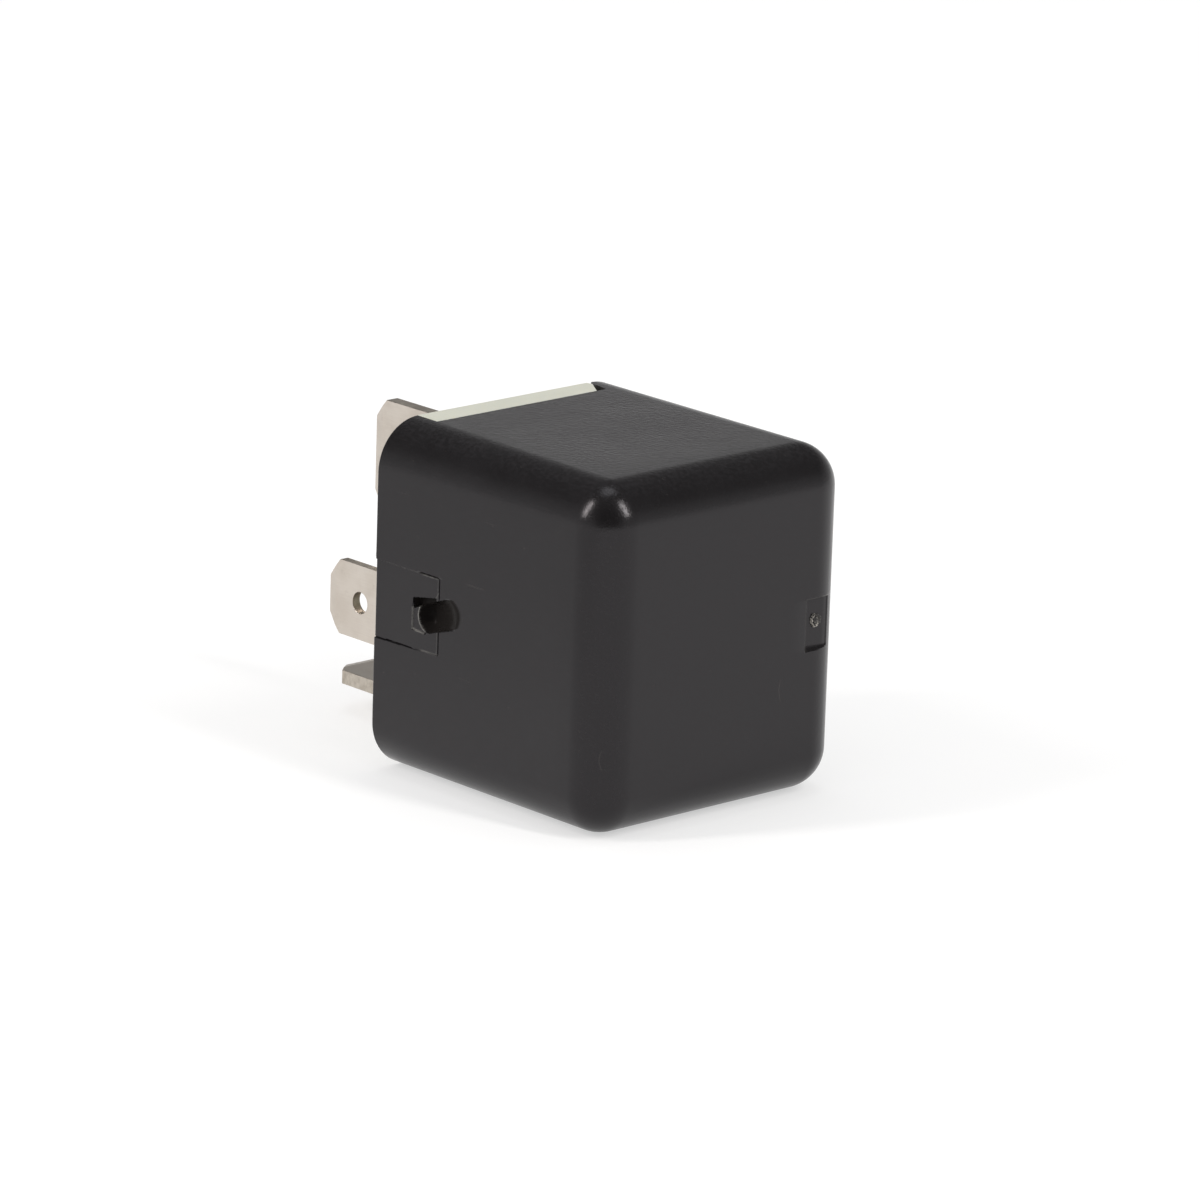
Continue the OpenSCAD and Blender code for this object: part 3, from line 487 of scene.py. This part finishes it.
def latch_depth(x, z):
    """How far the latch face lies below the side face at a point."""
    bottom = -PANEL_Z - PANEL_SAG + PANEL_CLIMB * x
    panel = (1 - smooth(x, PANEL_X - 0.02, PANEL_X + 0.02)) * between(z, bottom, PANEL_Z, 0.04)
    panel *= PANEL_DEPTH - PANEL_LOSS * smooth(x, 0, 7)
    right_seam = (between(x, PANEL_X - 0.02, PANEL_X + 0.1, 0.05)
                  * between(z, bottom, PANEL_Z, 0.05))
    low_seam = (between(z, bottom - 0.05, bottom + 0.02, 0.04)
                * (1 - smooth(x, 3.2, 6.0)))
    top_seam = (between(z, PANEL_Z - 0.02, PANEL_Z + 0.07, 0.04)
                * between(x, 5.2, PANEL_X, 0.8))
    pocket = (between(x, *POCKET_X, 0.06)
              * between(z, POCKET_LOW - POCKET_FALL * x, POCKET_HIGH, 0.06))
    return max(panel, RIGHT_SEAM * right_seam, LOW_SEAM * low_seam, TOP_SEAM * top_seam,
               POCKET_DEPTH * pocket, SLOT_DEPTH * slot_share(x, z), scoop_depth(x, z))


def boss_rise(x, z):
    """How far the boss behind the latch face stands inside the wall."""
    if not BOSS_START <= x <= BOSS_END:
        return 0
    return min(BOSS_RISE, max(0, PANEL_Z + BOSS_RISE - abs(z)))


def latch_highlights(x, z):
    """Painted highlights on the latch face, drawn as whitened plastic: the scoop's lit lip and
    light lines round the pocket, the insert and the panel.
    """
    def thread(strength, away, blur, core=0.02):
        return strength * (1 - smooth(away, core, blur))

    away_x, away_z = x - SCOOP_X, z - SCOOP_Z
    turn = math.degrees(math.atan2(away_z, away_x)) % 360
    width = 0.05 + 0.17 * between(turn, 150, 240, 60)
    outer = SCOOP_WALL + SCOOP_LIP
    reach = math.hypot(away_x, away_z)
    lip = between(reach, outer - width, outer, 0.08) * between(turn, 75, 250, 20)
    lip *= 1 - smooth(scoop_depth(x, z), 0.12, 0.34)
    pocket_side = from_line(x, z, ((4.5, 0.2), (4.5, -1.6)))
    pocket_foot = from_line(x, z, ((4.55, -1.56), (5.0, -1.64), (5.9, -1.68)))
    insert_rim = from_line(x, z, ((6.69, 0.98), (7.3, 1.5), (7.62, 2.0)))
    bottom = abs(z + PANEL_Z - PANEL_CLIMB * x + 0.02)
    return max(
        0.75 * lip,
        thread(0.45, pocket_side, 0.07),
        thread(0.65, pocket_foot, 0.09),
        thread(0.22, insert_rim, 0.07),
        thread(0.3, bottom, 0.09, 0.03) * between(x, 5.6, PANEL_X, 0.6),
        thread(0.32, abs(z - PANEL_Z + 0.06), 0.07) * between(x, 5.6, 7.6, 0.8),
        thread(0.14, abs(z - PANEL_Z), 0.06) * between(x, 0.6, 6, 0.8),
        thread(0.18, abs(x - PANEL_X + 0.16), 0.06) * between(z, -PANEL_Z, PANEL_Z, 0.3))


def gate_pale(x, y, z):
    """Bright burrs along the gate recess's near edge and its top edge."""
    if abs(z) > GATE_Z + 0.3 or y < GATE_Y - 0.3 or x < GATE_X - 1.6:
        return 0
    side = (1 - smooth(abs(y - GATE_Y), 0.03, 0.08)) * between(z, -GATE_Z, GATE_Z + 0.08, 0.1)
    top = (1 - smooth(abs(z - GATE_Z - 0.06), 0.03, 0.09)) * (y > GATE_Y)
    return max(0.3 * side, 0.42 * top * (1 - 0.6 * smooth(y, 11, 12.4)))


def gate_floor(y, z):
    """The closed end's place along X: the recess has a hollow fillet at its bottom."""
    reach = smooth(y, GATE_Y - 0.07, GATE_Y + 0.05)
    fillet = 0.5 - 0.18 * smooth(y, 9, 11)
    low = min(1, max(0, (z + GATE_Z) / fillet))
    rise = math.sqrt(max(0, 1 - (1 - low) ** 2)) if z > -GATE_Z else 0
    top = 1 - smooth(z, GATE_Z + 0.02, GATE_Z + 0.14)
    return LENGTH - (LENGTH - GATE_X) * reach * rise * top


def make_cover():
    """The moulded shell: rings of points from the rim to the closed end, outside and in."""
    z_extra = sum((around(v) for v in (-PANEL_Z - 0.08, PANEL_Z)), []) + [2.12, 2.16, 2.2]
    z_mid = lines(FINE_STEP, -GRID_Z, GRID_Z, z_extra)
    z_rest = [5, 6.5, 8, 9.5, END_Z]
    z_lines = [-v for v in reversed(z_rest)] + z_mid + z_rest
    y_rest = [GATE_Y + gap for gap in (-0.1, -0.06, -0.02, 0.02, 0.06)]
    y_rest += [NOTCH_Y, NOTCH_MID_Y, END_Y]
    y_mid = lines(2, -7, 7, [])
    y_lines = [-END_Y, -9, -8.2] + y_mid + y_rest

    def spread(value, fixed, end, core):
        """Keeps the middle columns in place and stretches the others with the draft."""
        if abs(value) <= fixed:
            return value
        return math.copysign(fixed + (abs(value) - fixed) * (core - fixed) / (end - fixed),
                             value)

    # one more column, close to the top, ends the notch in the near corner
    corner = sorted([i / CORNER_STEPS for i in range(1, CORNER_STEPS)] + [0.0155])
    columns = [("top", y) for y in y_lines]
    columns += [("corner", (1, 1, t)) for t in corner]
    columns += [("right", z) for z in reversed(z_lines)]
    columns += [("corner", (1, -1, t)) for t in reversed(corner)]
    columns += [("bottom", y) for y in reversed(y_lines)]
    columns += [("corner", (-1, -1, t)) for t in corner]
    columns += [("left", z) for z in z_lines]
    columns += [("corner", (-1, 1, t)) for t in reversed(corner)]

    def ring(x, core_y, core_z, radius, sunk=None):
        """One closed ring; sunk moves the two side faces inwards."""
        points = []
        for side, value in columns:
            if side in ("top", "bottom"):
                sign = 1 if side == "top" else -1
                y = spread(value, FIXED_Y, END_Y, core_y)
                if sign > 0 and x in NOTCH_END and value >= NOTCH_Y:
                    part = {NOTCH_Y: 0, NOTCH_MID_Y: 0.5}.get(value, 1)
                    y = NOTCH_END[x] + (core_y - NOTCH_END[x]) * part
                points.append([x, y, sign * (core_z + radius)])
            elif side in ("right", "left"):
                sign = 1 if side == "right" else -1
                z = spread(value, FIXED_Z, END_Z, core_z)
                depth = sunk(x, z) if sunk and abs(z) < LATCH_Z else 0
                nib = 0
                if sunk is latch_depth and x == 0:
                    nib = 0.08 * between(z, 3.3, LATCH_Z, 0.2)
                points.append([x - nib, sign * (core_y + radius - depth), z])
            else:
                sy, sz, t = value
                turn = t * math.pi / 2
                points.append([x, sy * (core_y + radius * math.sin(turn)),
                               sz * (core_z + radius * math.cos(turn))])
        return points

    x_extra = sum((around(v) for v in (PANEL_X, PANEL_X + 0.1, POCKET_X[0])), [])
    levels = RIM_LEVELS + [NOTCH_X, 3.2, 3.9]
    levels += lines(FINE_STEP, *FINE_X, x_extra)
    levels += lines(MIDDLE_STEP, *MIDDLE_X, [])
    levels += lines(COARSE_STEP, COARSE_X, END_X, [])
    rings = []
    for x in levels:
        part = x / END_X
        radius = RIM_RADIUS + (END_RADIUS - RIM_RADIUS) * part
        inset = RIM_INSET.get(x, 0)
        core_y = HALF_W - x * DRAFT - radius
        core_z = HALF_H - x * DRAFT - radius
        rings.append(ring(x, core_y, core_z, radius - inset, latch_depth))
    turn_at_floor = math.asin((GATE_X - END_X) / END_RADIUS)
    near_floor = [turn_at_floor + math.radians(v) for v in (0, 0.9, 1.8, 2.7)]
    turns = lines(math.pi / 2 / 18, math.pi / 36, math.pi / 2, near_floor)
    for turn in turns:
        rings.append(ring(END_X + END_RADIUS * math.sin(turn), END_Y, END_Z,
                          END_RADIUS * math.cos(turn)))
    for points in rings[len(levels):]:
        for point, (side, value) in zip(points, columns):
            if side == "right" and abs(value) < 2.4:
                burr = 0.06 * between(point[1], 11.15, 11.33, 0.1) * (abs(value) < GATE_Z)
                point[0] = min(point[0], gate_floor(point[1], value) - burr)
    bm = bmesh.new()
    pale = bm.verts.layers.float.new("pale")
    deep = bm.verts.layers.float.new("deep")
    width = len(columns)
    outer = [[bm.verts.new(p) for p in points] for points in rings]
    # the latch face's points carry its painted highlights and its painted shade
    for k, x in enumerate(levels):
        for vert, (side, value) in zip(outer[k], columns):
            if side in ("left", "right") and abs(value) < GRID_Z:
                vert[pale] = latch_highlights(x, value)
                vert[deep] = unlit(x, value)

    inner_levels = [x for x in levels if x <= NOTCH_X]
    inner_levels += [BOSS_START - 0.02, BOSS_START, BOSS_END, BOSS_END + 0.02, 12, END_X]
    inner_rings = []
    for x in inner_levels:
        part = x / END_X
        radius = RIM_RADIUS + (END_RADIUS - RIM_RADIUS) * part - WALL
        inner_rings.append(ring(x, HALF_W - x * DRAFT - WALL - radius,
                                HALF_H - x * DRAFT - WALL - radius, radius, boss_rise))
    for turn in (0.3, 0.6, 0.9, 1.2, math.pi / 2):
        inner_rings.append(ring(END_X + (END_RADIUS - WALL) * math.sin(turn), END_Y, END_Z,
                                (END_RADIUS - WALL) * math.cos(turn)))
    inner = [[bm.verts.new(p) for p in points] for points in inner_rings]

    notch_columns = set()
    for j, (side, value) in enumerate(columns):
        following = columns[(j + 1) % width]
        if side == "top" and following[0] == "top" and following[1] < NOTCH_Y + 0.01:
            notch_columns.add(j)
        if side == "corner" and value[2] < 0.02 and value[1] == 1 and following[0] == "top":
            notch_columns.add(j)
    notch_level = levels.index(NOTCH_X)

    def face(*corners):
        bm.faces.new(corners)

    for k in range(len(outer) - 1):
        for j in range(width):
            if k < notch_level and j in notch_columns:
                continue
            n = (j + 1) % width
            face(outer[k][j], outer[k][n], outer[k + 1][n], outer[k + 1][j])
    for k in range(len(inner) - 1):
        for j in range(width):
            if k < notch_level and j in notch_columns:
                continue
            n = (j + 1) % width
            face(inner[k][n], inner[k][j], inner[k + 1][j], inner[k + 1][n])
    for j in range(width):
        n = (j + 1) % width
        k = notch_level if j in notch_columns else 0
        face(outer[k][n], outer[k][j], inner[k][j], inner[k][n])
    first = min(j for j in range(width) if j in notch_columns
                and (j - 1) % width not in notch_columns)
    last = [j for j in notch_columns if (j + 1) % width not in notch_columns][0]
    for k in range(notch_level):
        face(outer[k][first], outer[k + 1][first], inner[k + 1][first], inner[k][first])
        end = (last + 1) % width
        face(outer[k + 1][end], outer[k][end], inner[k][end], inner[k + 1][end])

    close_end(bm, outer[-1], y_lines, z_lines, len(corner), False)
    close_end(bm, inner[-1], y_lines, z_lines, len(corner), True)
    bmesh.ops.remove_doubles(bm, verts=bm.verts, dist=1e-4)
    bmesh.ops.dissolve_degenerate(bm, dist=1e-5, edges=bm.edges)
    bmesh.ops.recalc_face_normals(bm, faces=bm.faces)

    for vert in bm.verts:
        vert[pale] = max(vert[pale], gate_pale(*vert.co))

    gate_stub(bm, pale)
    for vert in bm.verts:
        vert.co *= MM
    return finish_mesh(bm, "cover_shell", [COVER, STUB], 22)


def close_end(bm, last_ring, y_lines, z_lines, corner, inside):
    """Fills the closed end with a grid that shares its border with the last ring."""
    starts = [0]
    for side in (y_lines, z_lines, y_lines):
        starts.append(starts[-1] + len(side) + corner)
    top, right, bottom, left = (last_ring[start:start + len(side)] for start, side in
                                zip(starts, (y_lines, z_lines, y_lines, z_lines)))
    right, bottom = right[::-1], bottom[::-1]
    grid = {}
    for a, y in enumerate(y_lines):
        for b, z in enumerate(z_lines):
            if b == len(z_lines) - 1:
                grid[a, b] = top[a]
            elif b == 0:
                grid[a, b] = bottom[a]
            elif a == 0:
                grid[a, b] = left[b]
            elif a == len(y_lines) - 1:
                grid[a, b] = right[b]
            else:
                x = top[0].co.x if inside else gate_floor(y, z)
                grid[a, b] = bm.verts.new([x, y, z])
    for a in range(len(y_lines) - 1):
        for b in range(len(z_lines) - 1):
            quad = [grid[a, b], grid[a + 1, b], grid[a + 1, b + 1], grid[a, b + 1]]
            bm.faces.new(quad[::-1] if inside else quad)


def gate_stub(bm, pale):
    """Torn stub of the moulding gate, standing on the floor of its recess."""
    loops = []
    for height, radius in STUB_PROFILE:
        loops.append([])
        for i in range(STUB_STEPS):
            turn = 2 * math.pi * i / STUB_STEPS
            wobble = 1 + 0.06 * math.sin(3 * turn + 1) + 0.05 * math.sin(8 * turn + radius * 9)
            rise = height
            if height > 0:
                rise += 0.045 * math.sin(5 * turn + radius * 14) * math.sin(2 * turn + 0.7)
            vert = bm.verts.new([GATE_X + rise,
                                 STUB_Y + radius * wobble * math.cos(turn),
                                 STUB_Z + radius * wobble * math.sin(turn)])
            lit = between(math.degrees(turn), 110, 320, 50) if radius > 0.35 else 0
            vert[pale] = max(lit, 0.7 * (radius == STUB_RIDGE) * (math.cos(turn) > 0.3))
            loops[-1].append(vert)
    for polygon in skin(bm, loops):
        polygon.material_index = 1


# ------------------------------------------------------------------ mesh helpers

def skin(bm, loops):
    """Joins equal loops of points with quads, and closes the last and the first."""
    made = []
    for low, high in zip(loops, loops[1:]):
        for i in range(len(low)):
            n = (i + 1) % len(low)
            made.append(bm.faces.new([low[i], low[n], high[n], high[i]]))
    made.append(bm.faces.new(loops[-1]))
    made.append(bm.faces.new(loops[0][::-1]))
    return made


def finish_mesh(bm, name, materials, angle=35):
    """Turns a bmesh into a shaded object; edges sharper than the angle stay crisp."""
    mesh = bpy.data.meshes.new(name)
    bm.to_mesh(mesh)
    bm.free()
    for polygon in mesh.polygons:
        polygon.use_smooth = True
    mesh.set_sharp_from_angle(angle=math.radians(angle))
    made = bpy.data.objects.new(name, mesh)
    scene.collection.objects.link(made)
    for material in materials:
        mesh.materials.append(material)
    return made


FLASH_CRUMBS = 22


def flash_specks(bm):
    """Torn crumbs of excess moulding along the rim edge of the base's lug."""
    for _ in range(FLASH_CRUMBS):
        y = random.uniform(-9.3, 8.6)
        size = (random.uniform(0.03, 0.06), random.uniform(0.06, 0.3),
                random.uniform(0.03, 0.06))
        matrix = Matrix.Translation(Vector((0.01, y, HALF_H - 0.07)) * MM)
        matrix = matrix @ Matrix.Diagonal([v * MM for v in size] + [1])
        bmesh.ops.create_icosphere(bm, subdivisions=2, radius=1, matrix=matrix)


def softened(node, name, materials, width, segments=3, pick=None, extra=None):
    """A CAD solid's shape with its coplanar triangles joined and its edges rounded."""
    bm = bmesh.new()
    bm.from_mesh(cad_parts[node].data)
    bmesh.ops.remove_doubles(bm, verts=bm.verts, dist=1e-7)
    bmesh.ops.dissolve_limit(bm, angle_limit=math.radians(0.5), verts=bm.verts,
                             edges=bm.edges)
    for polygon in bm.faces:
        polygon.material_index = pick(polygon) if pick else 0
    if extra:
        extra(bm)
    made = finish_mesh(bm, name, materials, 30)
    bevel = made.modifiers.new("rounded edges", "BEVEL")
    bevel.width = width * MM
    bevel.segments = segments
    bevel.limit_method = "ANGLE"
    bevel.angle_limit = math.radians(40)
    bevel.harden_normals = True
    return made


def swept_strap(name, path, width, thickness, material):
    """Flat strap with round edges, swept along points given as (x, z) in millimetres."""
    bm = bmesh.new()
    steps = 20
    ends = (0.5, 0.85, 1)       # share of the full section at the end, next to it, beyond
    loops = []
    for i, (x, z) in enumerate(path):
        before, after = path[max(0, i - 1)], path[min(len(path) - 1, i + 1)]
        run = Vector((after[0] - before[0], after[1] - before[1])).normalized()
        end = min(i, len(path) - 1 - i)
        flat = ends[min(end, 2)]
        loops.append([])
        for k in range(steps):
            turn = 2 * math.pi * k / steps
            side, up = math.cos(turn), math.sin(turn)
            y = math.copysign(abs(side) ** 0.35, side) * width / 2 * (0.97 + 0.03 * flat)
            lift = math.copysign(abs(up) ** 0.6, up) * thickness / 2 * flat
            loops[-1].append(bm.verts.new([(x - run.y * lift) * MM, y * MM,
                                           (z + run.x * lift) * MM]))
    skin(bm, loops)
    bmesh.ops.recalc_face_normals(bm, faces=bm.faces)
    return finish_mesh(bm, name, [material], 50)


def final_mesh(piece):
    """Applies the piece's modifiers to its mesh."""
    bpy.context.view_layer.update()
    held = piece.evaluated_get(bpy.context.evaluated_depsgraph_get())
    mesh = bpy.data.meshes.new_from_object(held)
    piece.modifiers.clear()
    piece.data = mesh
    return piece


def place(piece, body, slot, *nodes):
    """A piece that rides rigidly on one body, in the stead of the nodes named."""
    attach(piece, body)
    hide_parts(*nodes)
    return piece


# ------------------------------------------------------------------ pieces

place(make_cover(), RELAY, "cover_plastic", "cover")
place(softened("base", "base_moulding", [CREAM], 0.09, extra=flash_specks), RELAY,
      "base_plastic", "base")


def cut_edge(thin_axis):
    """Faces that the punch cut get the second material."""
    def pick(polygon):
        return 0 if abs(polygon.normal[thin_axis]) > 0.9 else 1
    return pick


for node, thin in (("terminal_30", 1), ("terminal_85", 1), ("terminal_86", 1),
                   ("terminal_87", 2)):
    blade = softened(node, "blade_" + node[-2:], [TINNED, CUT], 0.06, 2, cut_edge(thin))
    place(blade, RELAY, "tinned_brass", node)


def bending(piece, node):
    """A piece that spans from the yoke to the armature: hides the node it stands in for and
    bakes its transform into its mesh.
    """
    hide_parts(node)
    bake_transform(piece)


spring = final_mesh(softened("contact_spring", "spring_leaf", [BRONZE], 0.04, 2))
bending(spring, "contact_spring")

HALF_BRAID = 0.35
BRAID_BEND = 1.3


def braid_path(low, high):
    """Flat on the yoke, up onto the spring, round a bend, and down to the armature."""
    leg_z = high.z - 3 * HALF_BRAID
    loop_z = high.z - HALF_BRAID
    loop_x = high.x - HALF_BRAID
    path = [(low.x + 0.02 + 0.4 * i, leg_z) for i in range(5)]
    for i in range(1, 7):
        path.append((path[4][0] + 0.25 * i, leg_z + HALF_BRAID * smooth(i, 0, 6)))
    first = path[-1][0]
    path += [(first + (loop_x - BRAID_BEND - first) * i / 10, loop_z) for i in range(1, 11)]
    for i in range(1, 13):
        turn = math.pi / 2 * i / 12
        path.append((loop_x - BRAID_BEND + BRAID_BEND * math.sin(turn),
                     loop_z - BRAID_BEND + BRAID_BEND * math.cos(turn)))
    drop_end = low.z + 3.45
    seat_x = loop_x - 0.61
    straight = loop_z - BRAID_BEND - drop_end
    path += [(loop_x, loop_z - BRAID_BEND - straight * i / 10) for i in range(1, 10)]
    path += [(loop_x + (seat_x - loop_x - 0.07) * smooth(i, 0, 8), drop_end - 0.24 * i)
             for i in range(9)]
    # the last leg leans with the armature
    end_x, end_z = path[-1]
    return path + [(end_x + 0.021 * i, end_z - 0.28 * i) for i in range(1, 5)]


braid_low, braid_high = (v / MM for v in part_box("copper_braid"))
braid = swept_strap("braid_strap", braid_path(braid_low, braid_high),
                    braid_high.y - braid_low.y, 2 * HALF_BRAID, BRAID)
bending(braid, "copper_braid")

low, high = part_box("resistor_body")
dressed = {
    "yoke": STEEL, "core": STEEL, "armature": STEEL, "bobbin": BOBBIN,
    "coil_winding": COPPER, "coil_leads": COPPER, "yoke_rivets": RIVET,
    "armature_rivets": RIVET, "moving_contact": SILVER, "fixed_contact": SILVER,
    "resistor_body": resistor_material((low.y + high.y) / 2), "resistor_leads": RIVET,
}
for node, material in dressed.items():
    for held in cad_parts[node].material_slots:
        held.material = material


# ------------------------------------------------------------------ floor, light, camera

def make_floor():
    """Pale sweep under the object, lit up for the camera and dimmer in reflections."""
    floor_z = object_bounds()[0].z
    bm = bmesh.new()
    bmesh.ops.create_grid(bm, x_segments=8, y_segments=8, size=3.0)
    for vert in bm.verts:
        vert.co.z = floor_z
    floor = finish_mesh(bm, "floor", [])
    m = Nodes("floor_white")
    m.set(Base_Color=rgb(0.5, 0.5, 0.5), Roughness=0.9)
    m.put(m.shader.inputs["Specular IOR Level"], 0.0)
    glow = m.add("ShaderNodeEmission", {"Color": rgb(1, 1, 1)})
    rays = m.add("ShaderNodeLightPath")
    # the sweep falls off towards the front left, as its reflection in the side shows
    split = m.add("ShaderNodeSeparateXYZ", {"Vector": m.coordinates})
    forward = m.maths("MULTIPLY", m.maths("ADD", split.outputs["X"], split.outputs["Y"]), -0.7)
    reflected = m.maths("MAXIMUM", rays.outputs["Is Glossy Ray"],
                        rays.outputs["Is Transmission Ray"])
    mirrored = m.maths("MULTIPLY", reflected, m.fade(forward, 0.008, 0.07, 0.44, 0.27))
    out = m.add("ShaderNodeVectorMath", {0: m.coordinates}, operation="LENGTH")
    seen = m.maths("MULTIPLY", rays.outputs["Is Camera Ray"],
                   m.fade(out.outputs["Value"], 0.2, 1.0, 0.53, 0.74))
    m.put(glow.inputs["Strength"], m.maths("MAXIMUM", mirrored, seen))
    both = m.add("ShaderNodeAddShader")
    m.put(both.inputs[0], m.shader.outputs[0])
    m.put(both.inputs[1], glow.outputs[0])
    m.put(m.tree.nodes["Material Output"].inputs["Surface"], both.outputs[0])
    floor.data.materials.append(m.material)


TO_VIEWER = (0.703, -0.656, 0.272)


def make_world():
    """White behind the object, a room with a dim ceiling in reflections, and an even
    grey to diffuse light."""
    world = bpy.data.worlds.new("studio")
    scene.world = world
    world.use_nodes = True
    tree = world.node_tree
    new, link = tree.nodes.new, tree.links.new
    sky = tree.nodes["Background"]
    place_in_sky = new("ShaderNodeSeparateXYZ")
    link(new("ShaderNodeTexCoord").outputs["Generated"], place_in_sky.inputs[0])

    def set_range(node, *numbers):
        for key, number in zip(("From Min", "From Max", "To Min", "To Max"), numbers):
            node.inputs[key].default_value = number

    ramp = new("ShaderNodeMapRange")
    link(place_in_sky.outputs["Z"], ramp.inputs["Value"])
    set_range(ramp, 0, 0.5, 0.665, 0.1)
    # the side where a viewer stands is unlit
    facing = new("ShaderNodeVectorMath")
    facing.operation = "DOT_PRODUCT"
    link(new("ShaderNodeTexCoord").outputs["Generated"], facing.inputs[0])
    facing.inputs[1].default_value = TO_VIEWER
    near = new("ShaderNodeMapRange")
    near.interpolation_type = "SMOOTHSTEP"
    link(facing.outputs["Value"], near.inputs["Value"])
    set_range(near, 0.72, 0.95, 1.0, 0.15)
    dimmed = new("ShaderNodeMath")
    dimmed.operation = "MULTIPLY"
    link(ramp.outputs["Result"], dimmed.inputs[0])
    link(near.outputs["Result"], dimmed.inputs[1])
    rays = new("ShaderNodeLightPath")
    pick = new("ShaderNodeMix")
    link(rays.outputs["Is Glossy Ray"], pick.inputs[0])
    pick.inputs[2].default_value = 1.0
    link(dimmed.outputs["Value"], pick.inputs[3])
    half = new("ShaderNodeMix")
    link(rays.outputs["Is Diffuse Ray"], half.inputs[0])
    link(pick.outputs[0], half.inputs[2])
    half.inputs[3].default_value = 0.58
    sky.inputs["Color"].default_value = (1, 1, 1, 1)
    link(half.outputs[0], sky.inputs["Strength"])


def soft_lamp(name, place_at, size, watts, tint):
    """Rectangular lamp that looks at the object's middle."""
    data = bpy.data.lights.new(name, "AREA")
    data.shape = "RECTANGLE"
    data.size, data.size_y = size
    data.energy = watts
    data.color = tint
    lamp = bpy.data.objects.new(name, data)
    lamp.location = place_at
    lamp.rotation_mode = "QUATERNION"
    lamp.rotation_quaternion = (-Vector(place_at)).to_track_quat("-Z", "Y")
    scene.collection.objects.link(lamp)


def make_camera():
    """Stands where the object's perspective puts it, with the long lens it implies."""
    azimuth, elevation, roll = (math.radians(v) for v in (47.167, 15.77, -1.879))
    back = Vector((math.sin(azimuth) * math.cos(elevation),
                   -math.cos(azimuth) * math.cos(elevation), math.sin(elevation)))
    right = Vector((math.cos(azimuth), math.sin(azimuth), 0))
    up = back.cross(right)
    level = Matrix((right, up, back)).transposed()
    data = bpy.data.cameras.new("camera")
    data.sensor_width = 36
    data.lens = 222.794
    camera = bpy.data.objects.new("camera", data)
    camera.rotation_mode = "QUATERNION"
    camera.rotation_quaternion = (level @ Matrix.Rotation(-roll, 3, "Z")).to_quaternion()
    camera.location = Vector((432.507, -389.808, 162.187)) * MM
    data.clip_start, data.clip_end = 0.01, 20
    scene.collection.objects.link(camera)
    scene.camera = camera


make_floor()
make_world()
make_camera()
soft_lamp("left_box", (-0.24, -0.63, 0.46), (0.1, 0.5), 2.6, (1, 0.96, 0.94))
soft_lamp("right_box", (0.66, 0.12, 0.58), (0.09, 0.5), 3.0, (1, 0.98, 0.96))
soft_lamp("top_box", (-0.1, 0.05, 0.95), (0.4, 0.4), 0.8, (0.94, 0.97, 1))

scene.view_settings.view_transform = "Standard"
